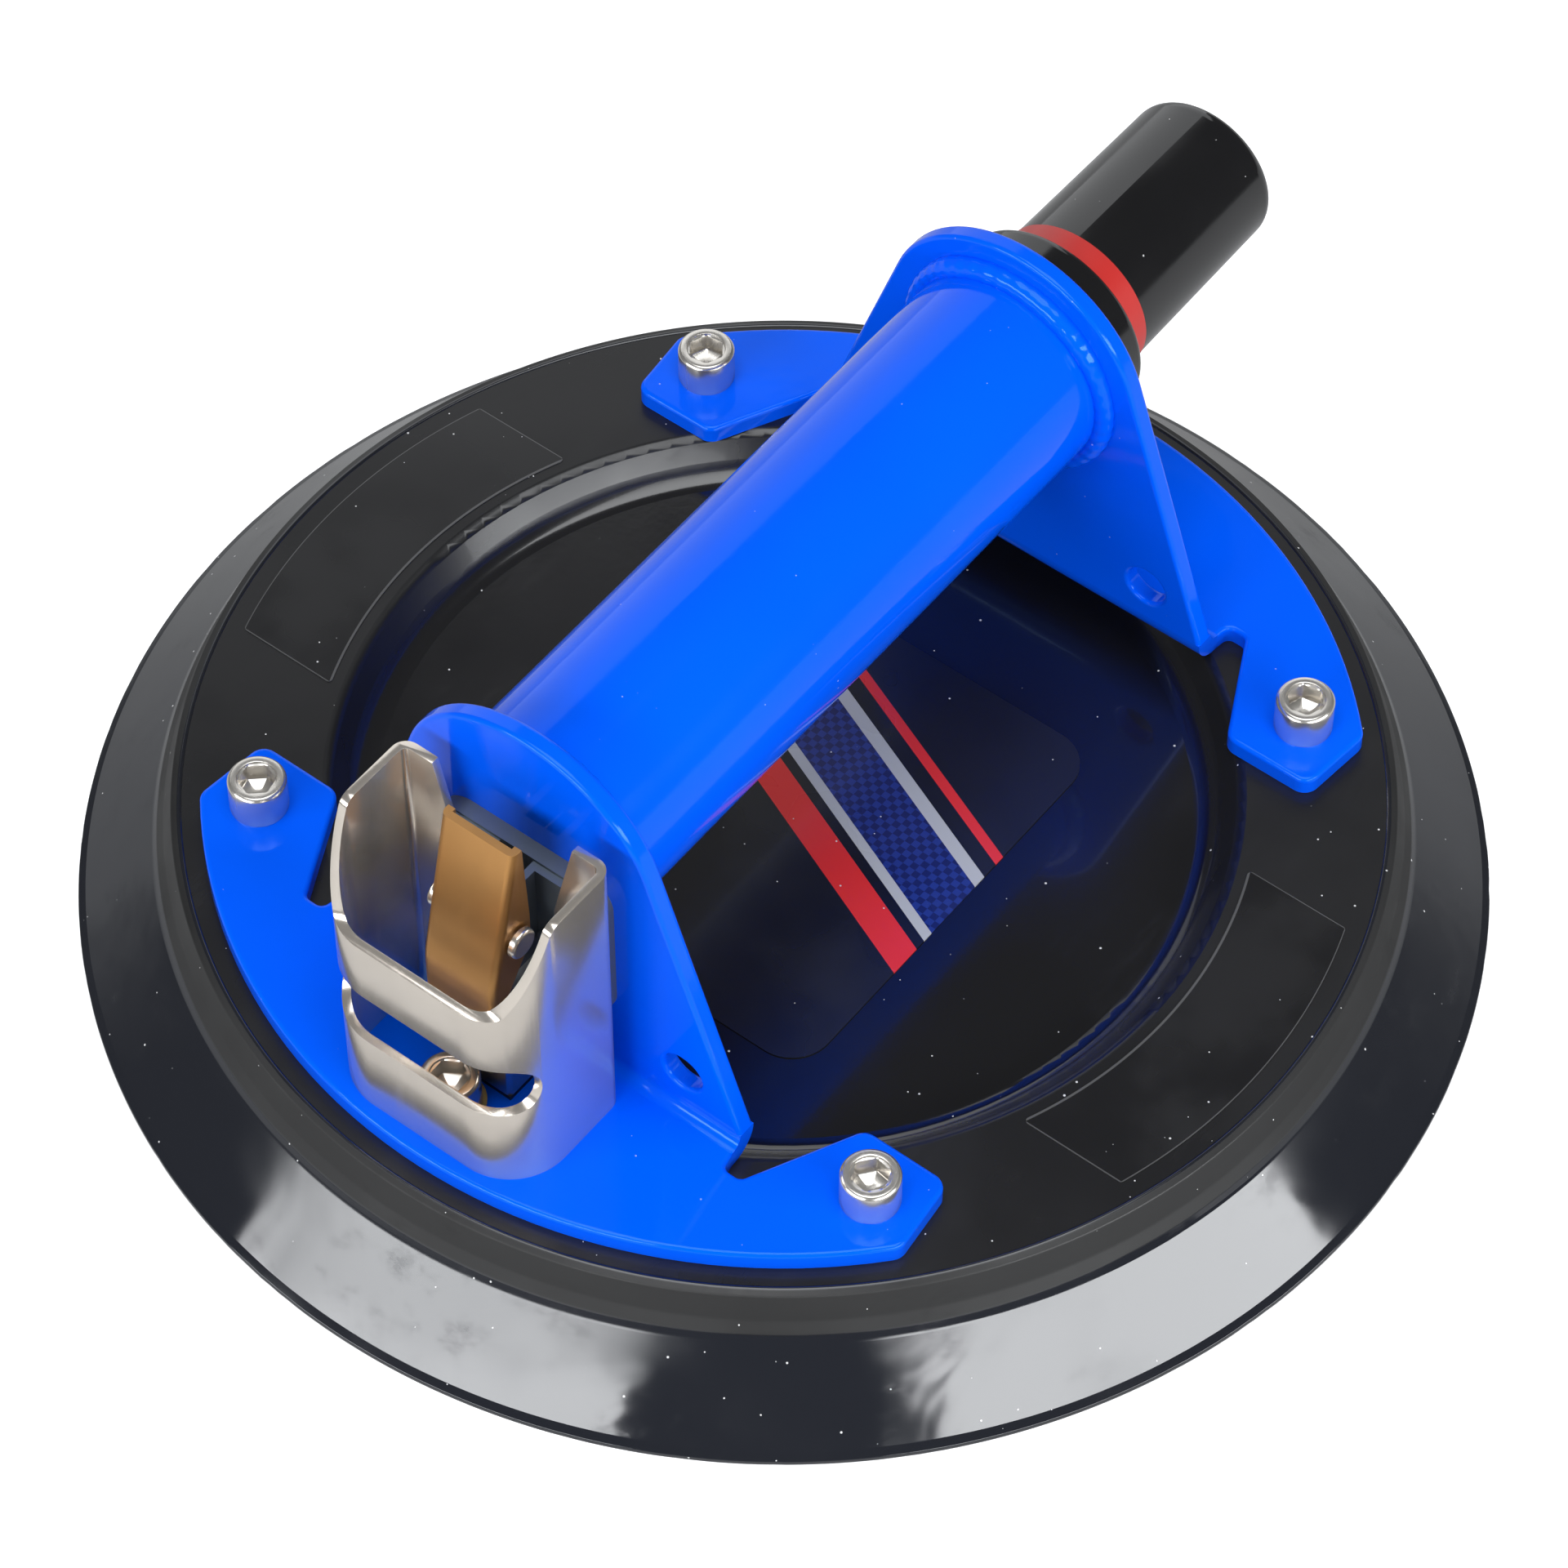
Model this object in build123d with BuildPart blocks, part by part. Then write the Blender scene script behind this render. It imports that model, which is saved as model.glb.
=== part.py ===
"""Pump-action suction cup lifter, piece by piece.

Lengths are in millimetres. +Z is up, the origin is the centre of the pad's underside,
and +X runs along the grip from the release valve to the pump knob.
"""
import os
from math import atan2, cos, sin, sqrt, tan

from build123d import *

os.makedirs("parts", exist_ok=True)

# Clearances shared by the fitting pieces
running_clearance = 0.08
press_clearance = 0.03
loose_clearance = 0.35
screw_hole_clearance = 0.25
seat_gap = 0.3

# Reach within which a corner or an edge is picked
pick_reach = 0.1

# Rubber pad
pad_radius = 105.0
lip_edge_height = 0.8
lip_top_inset = 1.1
lip_top_height = 1.5
flange_foot_share = 0.286
flange_foot_height = 12.4
bead_foot_share = 0.179
bead_foot_height = 15.3
bead_width_share = 0.095
bead_rise_share = 0.015
flange_fillet = 3.0
bead_fillet_share = 0.03
seal_face_width = 7.0
cavity_depth = 3.0
cavity_ramp = 3.0

# Backing plate, a pressed disc with a shallow dish
plate_top = 19.5
plate_thickness = 3.0
plate_radius = 88.2
dish_floor_radius = 62.8
dish_depth = 5.3
dish_wall_run = 4.0
dish_foot_fillet = 5.0
dish_rim_fillet = 2.0

# Brackets, folded from sheet
sheet = 3.0
fold_radius = 2.0
upright_inner = 53.6
upright_base_half = 36.2
upright_top_radius = 22.0
foot_radius = 85.3
foot_tip_inner = 43.7
foot_tip_near = 48.3
foot_tip_far = 62.8
foot_tip_corner = 56.3
notch_reach = 61.0
notch_near = 36.6
notch_far = 39.6
notch_fillet = 1.3
foot_corner_fillet = 2.5
sheet_edge_fillet = 0.7
wing_hole_offset = 26.0
wing_hole_height = 31.0
wing_hole_radius = 3.3

# Pad screws, socket heads
tip_screw_x = 52.5
tip_screw_y = 55.8
center_screw_x = 75.8
screw_radius = 2.4
screw_head_radius = 4.35
screw_head_height = 6.1
screw_head_chamfer = 0.45
socket_flats = 5.0
socket_depth = 3.4
socket_entry_radius = 3.05
socket_entry_depth = 0.3
washer_radius = 5.0
washer_thickness = 1.0
nut_flats = 8.0
nut_height = 4.0
nut_thread_stickout = 0.5

# Grip tube
grip_height = 63.3
tube_radius = 16.4
tube_wall = 2.25
weld_leg = 2.6
weld_bulge = 0.5

# Pump
collar_radius = 16.0
collar_length = 8.0
collar_edge_fillet = 1.4
collar_spigot_length = 7.0
barrel_radius = 14.1
barrel_bore = 13.0
barrel_length = 68.0
knob_end = 103.2
knob_radius = 12.6
knob_end_radius = 12.2
knob_edge_fillet = 2.6
knob_wall = 2.8
knob_inner_end = 40.0
ring_start_gap = 0.4
ring_width = 4.6
ring_depth = 0.6
ring_proud = 0.12
piston_length = 8.0
piston_spigot_length = 5.0
seal_width = 3.4
seal_depth = 2.6
seal_lip_step = 1.0
plug_length = 6.0
plug_bore = 1.2
plug_barb_length = 9.0
plug_barb_radius = 2.4
plug_ring_radius = 0.8
plug_ring_inset = 3.0
valve_disc_radius = 4.2
valve_disc_thickness = 1.4
valve_recess_depth = 2.0
pump_spring_radius = 9.5
pump_spring_wire = 0.7
pump_spring_turns = 7

# Vacuum line from the pump to the pad
elbow_x = -46.0
elbow_radius = 4.0
elbow_bore = 1.6
elbow_cap_rise = 4.2
elbow_arm_length = 12.0
elbow_flange_radius = 6.5
elbow_flange_thickness = 1.8
hose_radius = 4.0
hose_length = 16.0
hose_start_gap = 2.0
tube_port_clearance = 0.5
port_washer_radius = 7.5
port_washer_thickness = 1.0
port_nut_flats = 13.0
port_nut_height = 5.0
filter_radius = 4.6
filter_thickness = 2.6
filter_hole_radius = 2.2

# Release valve on the near bracket
base_plate_half = 14.7
base_plate_bottom = 35.0
base_plate_top = 64.5
base_plate_thickness = 2.5
base_plate_corner = 5.0
hinge_sheet = 1.2
cheek_outer = 4.1
hinge_flange_reach = 13.0
hinge_top = 64.0
hinge_bottom = 46.0
cheek_flat_reach = 5.5
cheek_ear_radius = 2.1
rivet_offset = 6.25
rivet_height = 50.0
rivet_radius = 1.1
rivet_head_radius = 1.9
rivet_head_height = 0.9
pivot_x = -67.2
pivot_z = 57.5
pin_radius = 1.2
pin_head_radius = 2.4
pin_head_height = 1.1
lever_half_width = 6.33
lever_sheet = 1.2
lever_front = -72.7
lever_bend_z = 50.0
lever_top_x = -66.9
lever_top_z = 75.5
lever_bottom_z = 33.0
lever_top_depth = 1.8
lever_tail_depth = 3.2
lever_ear_radius = 2.9
lever_bend_fillet = 14.0
lever_edge_fillet = 1.1
lever_spring_radius = 1.9
lever_spring_wire = 0.3
lever_spring_turns = 4
lever_spring_rear_leg = 7.7
lever_spring_front_leg = 1.8
valve_seal_radius = 3.2
valve_seal_thickness = 1.8
nozzle_height = 38.0
nozzle_radius = 2.2
nozzle_bore = 0.9
block_half_width = 6.2
block_front = -70.4
block_step_x = -66.0
block_back = -60.0
block_top = 43.0
block_ledge_rise = 5.7
block_edge_chamfer = 0.6
gasket_thickness = 0.8
vent_x = -69.1
vent_radius = 1.1
vent_gallery_rise = 2.6
vent_riser_x = -63.0
block_screw_x = -68.3
block_screw_y = 4.0
block_screw_radius = 1.2
block_screw_head_radius = 2.0
block_screw_head_height = 1.8
block_slot_width = 0.7
block_slot_depth = 0.8

# Guard round the release lever
guard_sheet = 1.3
guard_front = -82.7
guard_half_width = 18.2
guard_front_radius = 9.6
guard_back_radius = 2.4
guard_side_top = 76.3
guard_front_top = 60.0
guard_kink_x = -73.3
guard_step_x = -80.9
guard_kink_fillet = 2.2
guard_step_fillet = 2.5
guard_slot_bottom = 38.0
guard_slot_top = 48.6
guard_slot_reach = -76.3
guard_flange_end_low = 8.4
guard_flange_end_top = 12.1
guard_flange_slant_z = 60.0

# Label films
label_front_x = -37.5
label_back_x = 34.5
label_half_width = 32.0
label_corner = 6.5
label_thickness = 0.2
film_inner_margin = 2.6
film_outer_margin = 2.9
film_half_length = 27.6
film_corner = 0.6
film_thickness = 0.15

# Derived sizes
dish_floor = plate_top - dish_depth
plate_bottom = plate_top - plate_thickness
dish_bottom = dish_floor - plate_thickness
dish_wall_angle = atan2(dish_depth, dish_wall_run)
plate_offset = plate_thickness * tan(dish_wall_angle / 2)
dish_rim_radius = dish_floor_radius + dish_wall_run
flange_reach = pad_radius - plate_radius
flange_foot_radius = plate_radius + flange_foot_share * flange_reach
bead_foot_radius = plate_radius + bead_foot_share * flange_reach
bead_width = bead_width_share * flange_reach
bead_rise = bead_rise_share * flange_reach
bead_crest_fillet = bead_fillet_share * flange_reach
film_inner_radius = dish_rim_radius + film_inner_margin
film_outer_radius = plate_radius - film_outer_margin
foot_top = plate_top + sheet
upright_outer = upright_inner + sheet
fold_center_x = upright_outer + fold_radius
fold_center_z = foot_top + fold_radius
tube_bore = tube_radius - tube_wall
collar_end = upright_outer + collar_length
spigot_end = upright_inner - collar_spigot_length
barrel_end = spigot_end - barrel_length
plug_face = barrel_end + plug_length
piston_face = knob_inner_end - piston_length
knob_bore = knob_end_radius - knob_wall
ring_start = collar_end + ring_start_gap
base_plate_front = -upright_outer - base_plate_thickness
hinge_front = base_plate_front - hinge_sheet
hinge_middle = (hinge_top + hinge_bottom) / 2
hinge_height = hinge_top - hinge_bottom
cheek_inner = cheek_outer - hinge_sheet
lever_slope = (lever_top_x - lever_front) / (lever_top_z - lever_bend_z)
nut_top = plate_bottom
nut_bottom = nut_top - nut_height
block_bottom = foot_top + gasket_thickness
ledge_top = block_bottom + block_ledge_rise
gallery_z = block_bottom + vent_gallery_rise
nozzle_tip = lever_front + lever_sheet + valve_seal_thickness + seat_gap
screw_end = nut_bottom - nut_thread_stickout

grip_axis = Axis((0, 0, grip_height), (1, 0, 0))
tip_screws = [(sx * tip_screw_x, sy * tip_screw_y) for sx in (-1, 1) for sy in (-1, 1)]
center_screws = [(-center_screw_x, 0), (center_screw_x, 0)]


def save(piece, name):
    """Label a finished piece and write it."""
    piece.label = name
    export_step(piece, f"parts/{name}.step")


def on_grip(x):
    """Plane across the grip axis at x, its normal along +X."""
    return Plane(origin=(x, 0, grip_height), x_dir=(0, 1, 0), z_dir=(1, 0, 0))


def across(x):
    """Plane across the X axis at x, with Y to the right and Z up."""
    return Plane(origin=(x, 0, 0), x_dir=(0, 1, 0), z_dir=(1, 0, 0))


def flats_to_radius(flats):
    """Corner radius of a hexagon from its width across flats."""
    return flats / sqrt(3)


# Backing plate
with BuildPart() as backing_plate:
    with BuildSketch(Plane.XZ) as plate_section:
        with BuildLine():
            Polyline(
                (0, dish_floor),
                (dish_floor_radius, dish_floor),
                (dish_rim_radius, plate_top),
                (plate_radius, plate_top),
                (plate_radius, plate_bottom),
                (dish_rim_radius + plate_offset, plate_bottom),
                (dish_floor_radius + plate_offset, dish_bottom),
                (0, dish_bottom),
                close=True,
            )
        make_face()
        dish_foot = plate_section.vertices().filter_by_position(
            Axis.X, dish_floor_radius - pick_reach, dish_floor_radius + pick_reach
        )
        fillet(dish_foot, dish_foot_fillet)
        dish_rim = plate_section.vertices().filter_by_position(
            Axis.X, dish_rim_radius - pick_reach, dish_rim_radius + pick_reach
        )
        fillet(dish_rim, dish_rim_fillet)
    revolve(axis=Axis.Z)
    with BuildSketch(Plane.XY.offset(dish_bottom)):
        with Locations(*tip_screws, *center_screws):
            Circle(screw_radius + screw_hole_clearance)
        with Locations((elbow_x, 0)):
            Circle(elbow_radius + running_clearance)
        with Locations((vent_x, 0)):
            Circle(vent_radius)
    extrude(amount=plate_top - dish_bottom, mode=Mode.SUBTRACT)
save(backing_plate.part, "backing_plate")

# Rubber pad, with a bead that grips the plate's rim
with BuildPart() as rubber_pad:
    with BuildSketch(Plane.XZ) as pad_section:
        with BuildLine():
            Polyline(
                (0, cavity_depth),
                (pad_radius - seal_face_width - cavity_ramp, cavity_depth),
                (pad_radius - seal_face_width, 0),
                (pad_radius, 0),
                (pad_radius, lip_edge_height),
                (pad_radius - lip_top_inset, lip_top_height),
                (flange_foot_radius, flange_foot_height),
                (bead_foot_radius, bead_foot_height),
                (plate_radius + bead_width, plate_top - bead_rise),
                (plate_radius + bead_rise, plate_top + bead_rise),
                (plate_radius, plate_top),
                (plate_radius, plate_bottom),
                (dish_rim_radius + plate_offset, plate_bottom),
                (dish_floor_radius + plate_offset, dish_bottom),
                (0, dish_bottom),
                close=True,
            )
        make_face()
        for spot in (flange_foot_radius, bead_foot_radius):
            corner = pad_section.vertices().filter_by_position(Axis.X, spot - pick_reach, spot + pick_reach)
            fillet(corner, flange_fillet)
        crest = pad_section.vertices().filter_by_position(
            Axis.X, plate_radius + bead_rise, plate_radius + bead_width
        )
        fillet(crest, bead_crest_fillet)
    revolve(axis=Axis.Z)
    with BuildSketch(Plane.XY.offset(screw_end - seat_gap)):
        with Locations(*tip_screws, *center_screws):
            Circle(flats_to_radius(nut_flats) + loose_clearance)
    extrude(amount=plate_bottom - screw_end + seat_gap, mode=Mode.SUBTRACT)
    with BuildSketch(Plane.XY.offset(dish_bottom)):
        with Locations((elbow_x, 0)):
            Circle(elbow_flange_radius + press_clearance)
    extrude(amount=-elbow_flange_thickness, mode=Mode.SUBTRACT)
    with BuildSketch(Plane.XY.offset(dish_bottom)):
        with Locations((elbow_x, 0)):
            Circle(filter_radius + press_clearance)
    extrude(amount=-elbow_flange_thickness - filter_thickness, mode=Mode.SUBTRACT)
    with BuildSketch(Plane.XY):
        with Locations((elbow_x, 0)):
            Circle(filter_hole_radius)
        with Locations((vent_x, 0)):
            Circle(vent_radius)
    extrude(amount=plate_top, mode=Mode.SUBTRACT)
save(rubber_pad.part, "rubber_pad")


def foot_arc_y(x):
    """Y of the foot's outer arc at x."""
    return sqrt(foot_radius**2 - x**2)


side_reach = sqrt(upright_base_half**2 + (grip_height - fold_center_z) ** 2)
touch_angle = atan2(fold_center_z - grip_height, upright_base_half) + atan2(
    sqrt(side_reach**2 - upright_top_radius**2), upright_top_radius
)
touch_y = upright_top_radius * cos(touch_angle)
touch_z = grip_height + upright_top_radius * sin(touch_angle)


def bracket(end, bore_radius, extra_holes):
    """One folded bracket: end is -1 at the valve, +1 at the pump; the bore passes the collar."""
    with BuildPart() as body:
        with BuildSketch(Plane.XY.offset(plate_top)) as foot:
            with BuildLine():
                Polyline(
                    (end * foot_tip_corner, foot_arc_y(foot_tip_corner)),
                    (end * foot_tip_inner, foot_tip_far),
                    (end * foot_tip_inner, foot_tip_near),
                    (end * notch_reach, notch_far),
                    (end * notch_reach, notch_near),
                    (end * fold_center_x, upright_base_half),
                    (end * fold_center_x, -upright_base_half),
                    (end * notch_reach, -notch_near),
                    (end * notch_reach, -notch_far),
                    (end * foot_tip_inner, -foot_tip_near),
                    (end * foot_tip_inner, -foot_tip_far),
                    (end * foot_tip_corner, -foot_arc_y(foot_tip_corner)),
                )
                ThreePointArc(
                    (end * foot_tip_corner, -foot_arc_y(foot_tip_corner)),
                    (end * foot_radius, 0),
                    (end * foot_tip_corner, foot_arc_y(foot_tip_corner)),
                )
            make_face()
            outer_corners = foot.vertices().filter_by_position(
                Axis.Y, foot_tip_near, foot_radius
            ) + foot.vertices().filter_by_position(Axis.Y, -foot_radius, -foot_tip_near)
            fillet(outer_corners, foot_corner_fillet)
            notch_corners = foot.vertices().filter_by_position(
                Axis.X, end * notch_reach - pick_reach, end * notch_reach + pick_reach
            )
            fillet(notch_corners, notch_fillet)
            with Locations(*[spot for spot in tip_screws + center_screws if spot[0] * end > 0]):
                Circle(screw_radius + screw_hole_clearance, mode=Mode.SUBTRACT)
            for x, y, radius in extra_holes:
                with Locations((x, y)):
                    Circle(radius, mode=Mode.SUBTRACT)
        extrude(amount=sheet)
        foot_face = body.faces().filter_by(Axis.Z).sort_by(Axis.Z)[-1]
        foot_rim = foot_face.outer_wire().edges().filter_by(
            lambda edge: abs(abs(edge.center().X) - fold_center_x) > pick_reach
        )
        fillet(foot_rim, sheet_edge_fillet)
        with BuildSketch(across(end * upright_inner)):
            with BuildLine():
                Polyline(
                    (-touch_y, touch_z),
                    (-upright_base_half, fold_center_z),
                    (upright_base_half, fold_center_z),
                    (touch_y, touch_z),
                )
                ThreePointArc(
                    (touch_y, touch_z),
                    (0, grip_height + upright_top_radius),
                    (-touch_y, touch_z),
                )
            make_face()
            with Locations((-wing_hole_offset, wing_hole_height), (wing_hole_offset, wing_hole_height)):
                Circle(wing_hole_radius, mode=Mode.SUBTRACT)
            if bore_radius > 0:
                with Locations((0, grip_height)):
                    Circle(bore_radius, mode=Mode.SUBTRACT)
        extrude(amount=end * sheet)
        upright_faces = body.faces().filter_by(Axis.X).sort_by(SortBy.AREA)[-2:]
        outline = ShapeList([edge for face in upright_faces for edge in face.outer_wire().edges()])
        upright_rim = outline.filter_by(
            lambda edge: edge.center().Z > fold_center_z + pick_reach
        )
        wing_rims = body.edges().filter_by(GeomType.CIRCLE).filter_by(
            lambda edge: abs(edge.radius - wing_hole_radius) < pick_reach
        )
        fillet(upright_rim + wing_rims, sheet_edge_fillet)
        with BuildSketch(Plane.XZ):
            with Locations((end * fold_center_x, fold_center_z)):
                Circle(fold_radius + sheet)
                Circle(fold_radius, mode=Mode.SUBTRACT)
                Rectangle(
                    fold_radius + sheet,
                    fold_radius + sheet,
                    align=(Align.MAX if end > 0 else Align.MIN, Align.MAX),
                    mode=Mode.INTERSECT,
                )
        extrude(amount=upright_base_half, both=True)
    return body.part


block_holes = [(vent_x, 0, vent_radius)] + [
    (block_screw_x, side * block_screw_y, block_screw_radius + press_clearance) for side in (-1, 1)
]
save(bracket(-1, 0, block_holes), "valve_bracket")
save(bracket(1, barrel_radius + running_clearance, []), "pump_bracket")

# Grip tube with the port for the vacuum line in its underside
with BuildPart() as grip_tube:
    with BuildSketch(on_grip(-upright_inner)):
        Circle(tube_radius)
        Circle(tube_bore, mode=Mode.SUBTRACT)
    extrude(amount=2 * upright_inner)
    with BuildSketch(Plane.XY.offset(grip_height - tube_radius - tube_port_clearance)):
        with Locations((elbow_x, 0)):
            Circle(elbow_radius + tube_port_clearance)
    extrude(amount=tube_radius, mode=Mode.SUBTRACT)
save(grip_tube.part, "grip_tube")


def weld_bead(end):
    """Fillet weld round the tube where it meets a bracket."""
    face_x = end * upright_inner
    toe = tube_radius + weld_leg
    with BuildPart() as bead:
        with BuildSketch(Plane.XZ):
            with BuildLine():
                Polyline(
                    (face_x - end * weld_leg, grip_height + tube_radius),
                    (face_x, grip_height + tube_radius),
                    (face_x, grip_height + toe),
                )
                ThreePointArc(
                    (face_x, grip_height + toe),
                    (
                        face_x - end * (weld_leg / 2 + weld_bulge),
                        grip_height + tube_radius + weld_leg / 2 + weld_bulge,
                    ),
                    (face_x - end * weld_leg, grip_height + tube_radius),
                )
            make_face()
        revolve(axis=grip_axis)
    return bead.part


save(weld_bead(-1), "valve_end_weld")
save(weld_bead(1), "pump_end_weld")


def socket_screws(spots, head_seat):
    """Socket head screws at the given places, their heads seated at one height."""
    with BuildPart() as screws:
        with BuildSketch(Plane.XY.offset(head_seat)):
            with Locations(*spots):
                Circle(screw_head_radius)
        extrude(amount=screw_head_height)
        rims = screws.edges().filter_by(GeomType.CIRCLE).group_by(Axis.Z)[-1]
        chamfer(rims, screw_head_chamfer)
        head_top = head_seat + screw_head_height
        with BuildSketch(Plane.XY.offset(head_top)):
            with Locations(*spots):
                RegularPolygon(flats_to_radius(socket_flats), 6)
        extrude(amount=-socket_depth, mode=Mode.SUBTRACT)
        with BuildSketch(Plane.XY.offset(head_top)):
            with Locations(*spots):
                Circle(socket_entry_radius)
        extrude(amount=-socket_entry_depth, mode=Mode.SUBTRACT)
        with BuildSketch(Plane.XY.offset(head_seat)):
            with Locations(*spots):
                Circle(screw_radius)
        extrude(amount=screw_end - head_seat)
    return screws.part


save(socket_screws(tip_screws, foot_top), "pad_screws")
save(socket_screws(center_screws, foot_top + washer_thickness), "center_screws")

# Washers under the two center screws
with BuildPart() as center_washers:
    with BuildSketch(Plane.XY.offset(foot_top)):
        with Locations(*center_screws):
            Circle(washer_radius)
            Circle(screw_radius + screw_hole_clearance, mode=Mode.SUBTRACT)
    extrude(amount=washer_thickness)
save(center_washers.part, "center_washers")

# Nuts under the plate, sunk in the rubber
with BuildPart() as pad_nuts:
    with BuildSketch(Plane.XY.offset(nut_bottom)):
        with Locations(*tip_screws, *center_screws):
            RegularPolygon(flats_to_radius(nut_flats), 6)
            Circle(screw_radius + press_clearance, mode=Mode.SUBTRACT)
    extrude(amount=nut_height)
save(pad_nuts.part, "pad_nuts")

# Collar that guides the plunger in the end of the tube
with BuildPart() as guide_collar:
    with BuildSketch(on_grip(upright_outer)):
        Circle(collar_radius)
    extrude(amount=collar_length)
    fillet(guide_collar.edges().group_by(Axis.X)[-1], collar_edge_fillet)
    with BuildSketch(on_grip(spigot_end)):
        Circle(barrel_radius)
    extrude(amount=upright_outer - spigot_end)
    with BuildSketch(on_grip(spigot_end)):
        Circle(barrel_bore)
    extrude(amount=collar_end - spigot_end, mode=Mode.SUBTRACT)
save(guide_collar.part, "guide_collar")

# Pump barrel inside the tube
with BuildPart() as pump_barrel:
    with BuildSketch(on_grip(barrel_end)):
        Circle(barrel_radius)
        Circle(barrel_bore, mode=Mode.SUBTRACT)
    extrude(amount=barrel_length)
save(pump_barrel.part, "pump_barrel")

# Plunger knob, a hollow cup with a groove for the indicator ring
ring_end = ring_start + ring_width
groove_radius = knob_radius - ring_depth
with BuildPart() as plunger_knob:
    with BuildSketch(Plane.XZ) as knob_section:
        with BuildLine():
            Polyline(
                (knob_inner_end, grip_height + knob_bore),
                (knob_inner_end, grip_height + knob_radius),
                (ring_start, grip_height + knob_radius),
                (ring_start, grip_height + groove_radius),
                (ring_end, grip_height + groove_radius),
                (ring_end, grip_height + knob_radius),
                (knob_end, grip_height + knob_end_radius),
                (knob_end, grip_height),
                (knob_end - knob_wall, grip_height),
                (knob_end - knob_wall, grip_height + knob_bore),
                close=True,
            )
        make_face()
        rim = knob_section.vertices().sort_by(Axis.X)[-2:].sort_by(Axis.Y)[-1]
        fillet(rim, knob_edge_fillet)
    revolve(axis=grip_axis)
save(plunger_knob.part, "plunger_knob")

# Red ring that shows when the pump needs another stroke
with BuildPart() as indicator_ring:
    with BuildSketch(on_grip(ring_start)):
        Circle(knob_radius + ring_proud)
        Circle(groove_radius, mode=Mode.SUBTRACT)
    extrude(amount=ring_width)
save(indicator_ring.part, "indicator_ring")

# Piston on the plunger's inner end, grooved for its seal
seal_groove_start = piston_face + (piston_length - seal_width) / 2
with BuildPart() as piston:
    with BuildSketch(on_grip(piston_face)):
        Circle(knob_radius)
    extrude(amount=piston_length)
    with BuildSketch(on_grip(knob_inner_end)):
        Circle(knob_bore)
    extrude(amount=piston_spigot_length)
    with BuildSketch(on_grip(seal_groove_start)):
        Circle(knob_radius)
        Circle(barrel_bore - seal_depth, mode=Mode.SUBTRACT)
    extrude(amount=seal_width, mode=Mode.SUBTRACT)
save(piston.part, "piston")

# Cup seal that wipes the barrel
seal_outer = barrel_bore - running_clearance
with BuildPart() as piston_seal:
    with BuildSketch(Plane.XZ):
        with BuildLine():
            Polyline(
                (seal_groove_start, grip_height + barrel_bore - seal_depth),
                (seal_groove_start + seal_width, grip_height + barrel_bore - seal_depth),
                (seal_groove_start + seal_width, grip_height + seal_outer - seat_gap),
                (seal_groove_start + seal_lip_step, grip_height + seal_outer),
                (seal_groove_start, grip_height + seal_outer),
                close=True,
            )
        make_face()
    revolve(axis=grip_axis)
save(piston_seal.part, "piston_seal")


def coil_spring(center, direction, radius, wire, length, turns):
    """Coil spring: a round wire swept along a helix."""
    with BuildPart() as coil:
        with BuildLine() as path:
            Helix(pitch=length / turns, height=length, radius=radius, center=center, direction=direction)
        with BuildSketch(Plane(origin=path.line @ 0, z_dir=path.line % 0)):
            Circle(wire)
        sweep(is_frenet=True)
    return coil.part


# Pump spring between the barrel's plug and the piston
pump_spring = coil_spring(
    (plug_face + pump_spring_wire, 0, grip_height),
    (1, 0, 0),
    pump_spring_radius,
    pump_spring_wire,
    piston_face - plug_face - 2 * pump_spring_wire,
    pump_spring_turns,
)
save(pump_spring, "pump_spring")

# Plug that closes the barrel, with the suction barb and a recess for the inlet valve
plug_ring_center = barrel_bore - plug_ring_radius
with BuildPart() as barrel_plug:
    with BuildSketch(on_grip(barrel_end)):
        Circle(barrel_bore)
    extrude(amount=plug_length)
    with BuildSketch(on_grip(plug_face - valve_recess_depth)):
        Circle(valve_disc_radius + loose_clearance)
    extrude(amount=valve_recess_depth, mode=Mode.SUBTRACT)
    with BuildSketch(on_grip(barrel_end)):
        Circle(plug_barb_radius)
    extrude(amount=-plug_barb_length)
    with BuildSketch(on_grip(barrel_end - plug_barb_length)):
        Circle(plug_bore)
    extrude(amount=plug_barb_length + plug_length, mode=Mode.SUBTRACT)
    with BuildSketch(Plane.XZ):
        with Locations((barrel_end + plug_ring_inset, grip_height + plug_ring_center)):
            Rectangle(2 * plug_ring_radius, 2 * plug_ring_radius)
    revolve(axis=grip_axis, mode=Mode.SUBTRACT)
save(barrel_plug.part, "barrel_plug")

# Ring that seals the plug in the barrel
with BuildPart() as plug_seal:
    with BuildSketch(Plane.XZ):
        with Locations((barrel_end + plug_ring_inset, grip_height + plug_ring_center)):
            Circle(plug_ring_radius - press_clearance)
    revolve(axis=grip_axis)
save(plug_seal.part, "plug_seal")

# Rubber disc of the inlet check valve
with BuildPart() as inlet_valve_disc:
    with BuildSketch(on_grip(plug_face - valve_recess_depth)):
        Circle(valve_disc_radius)
    extrude(amount=valve_disc_thickness)
save(inlet_valve_disc.part, "inlet_valve_disc")

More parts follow.
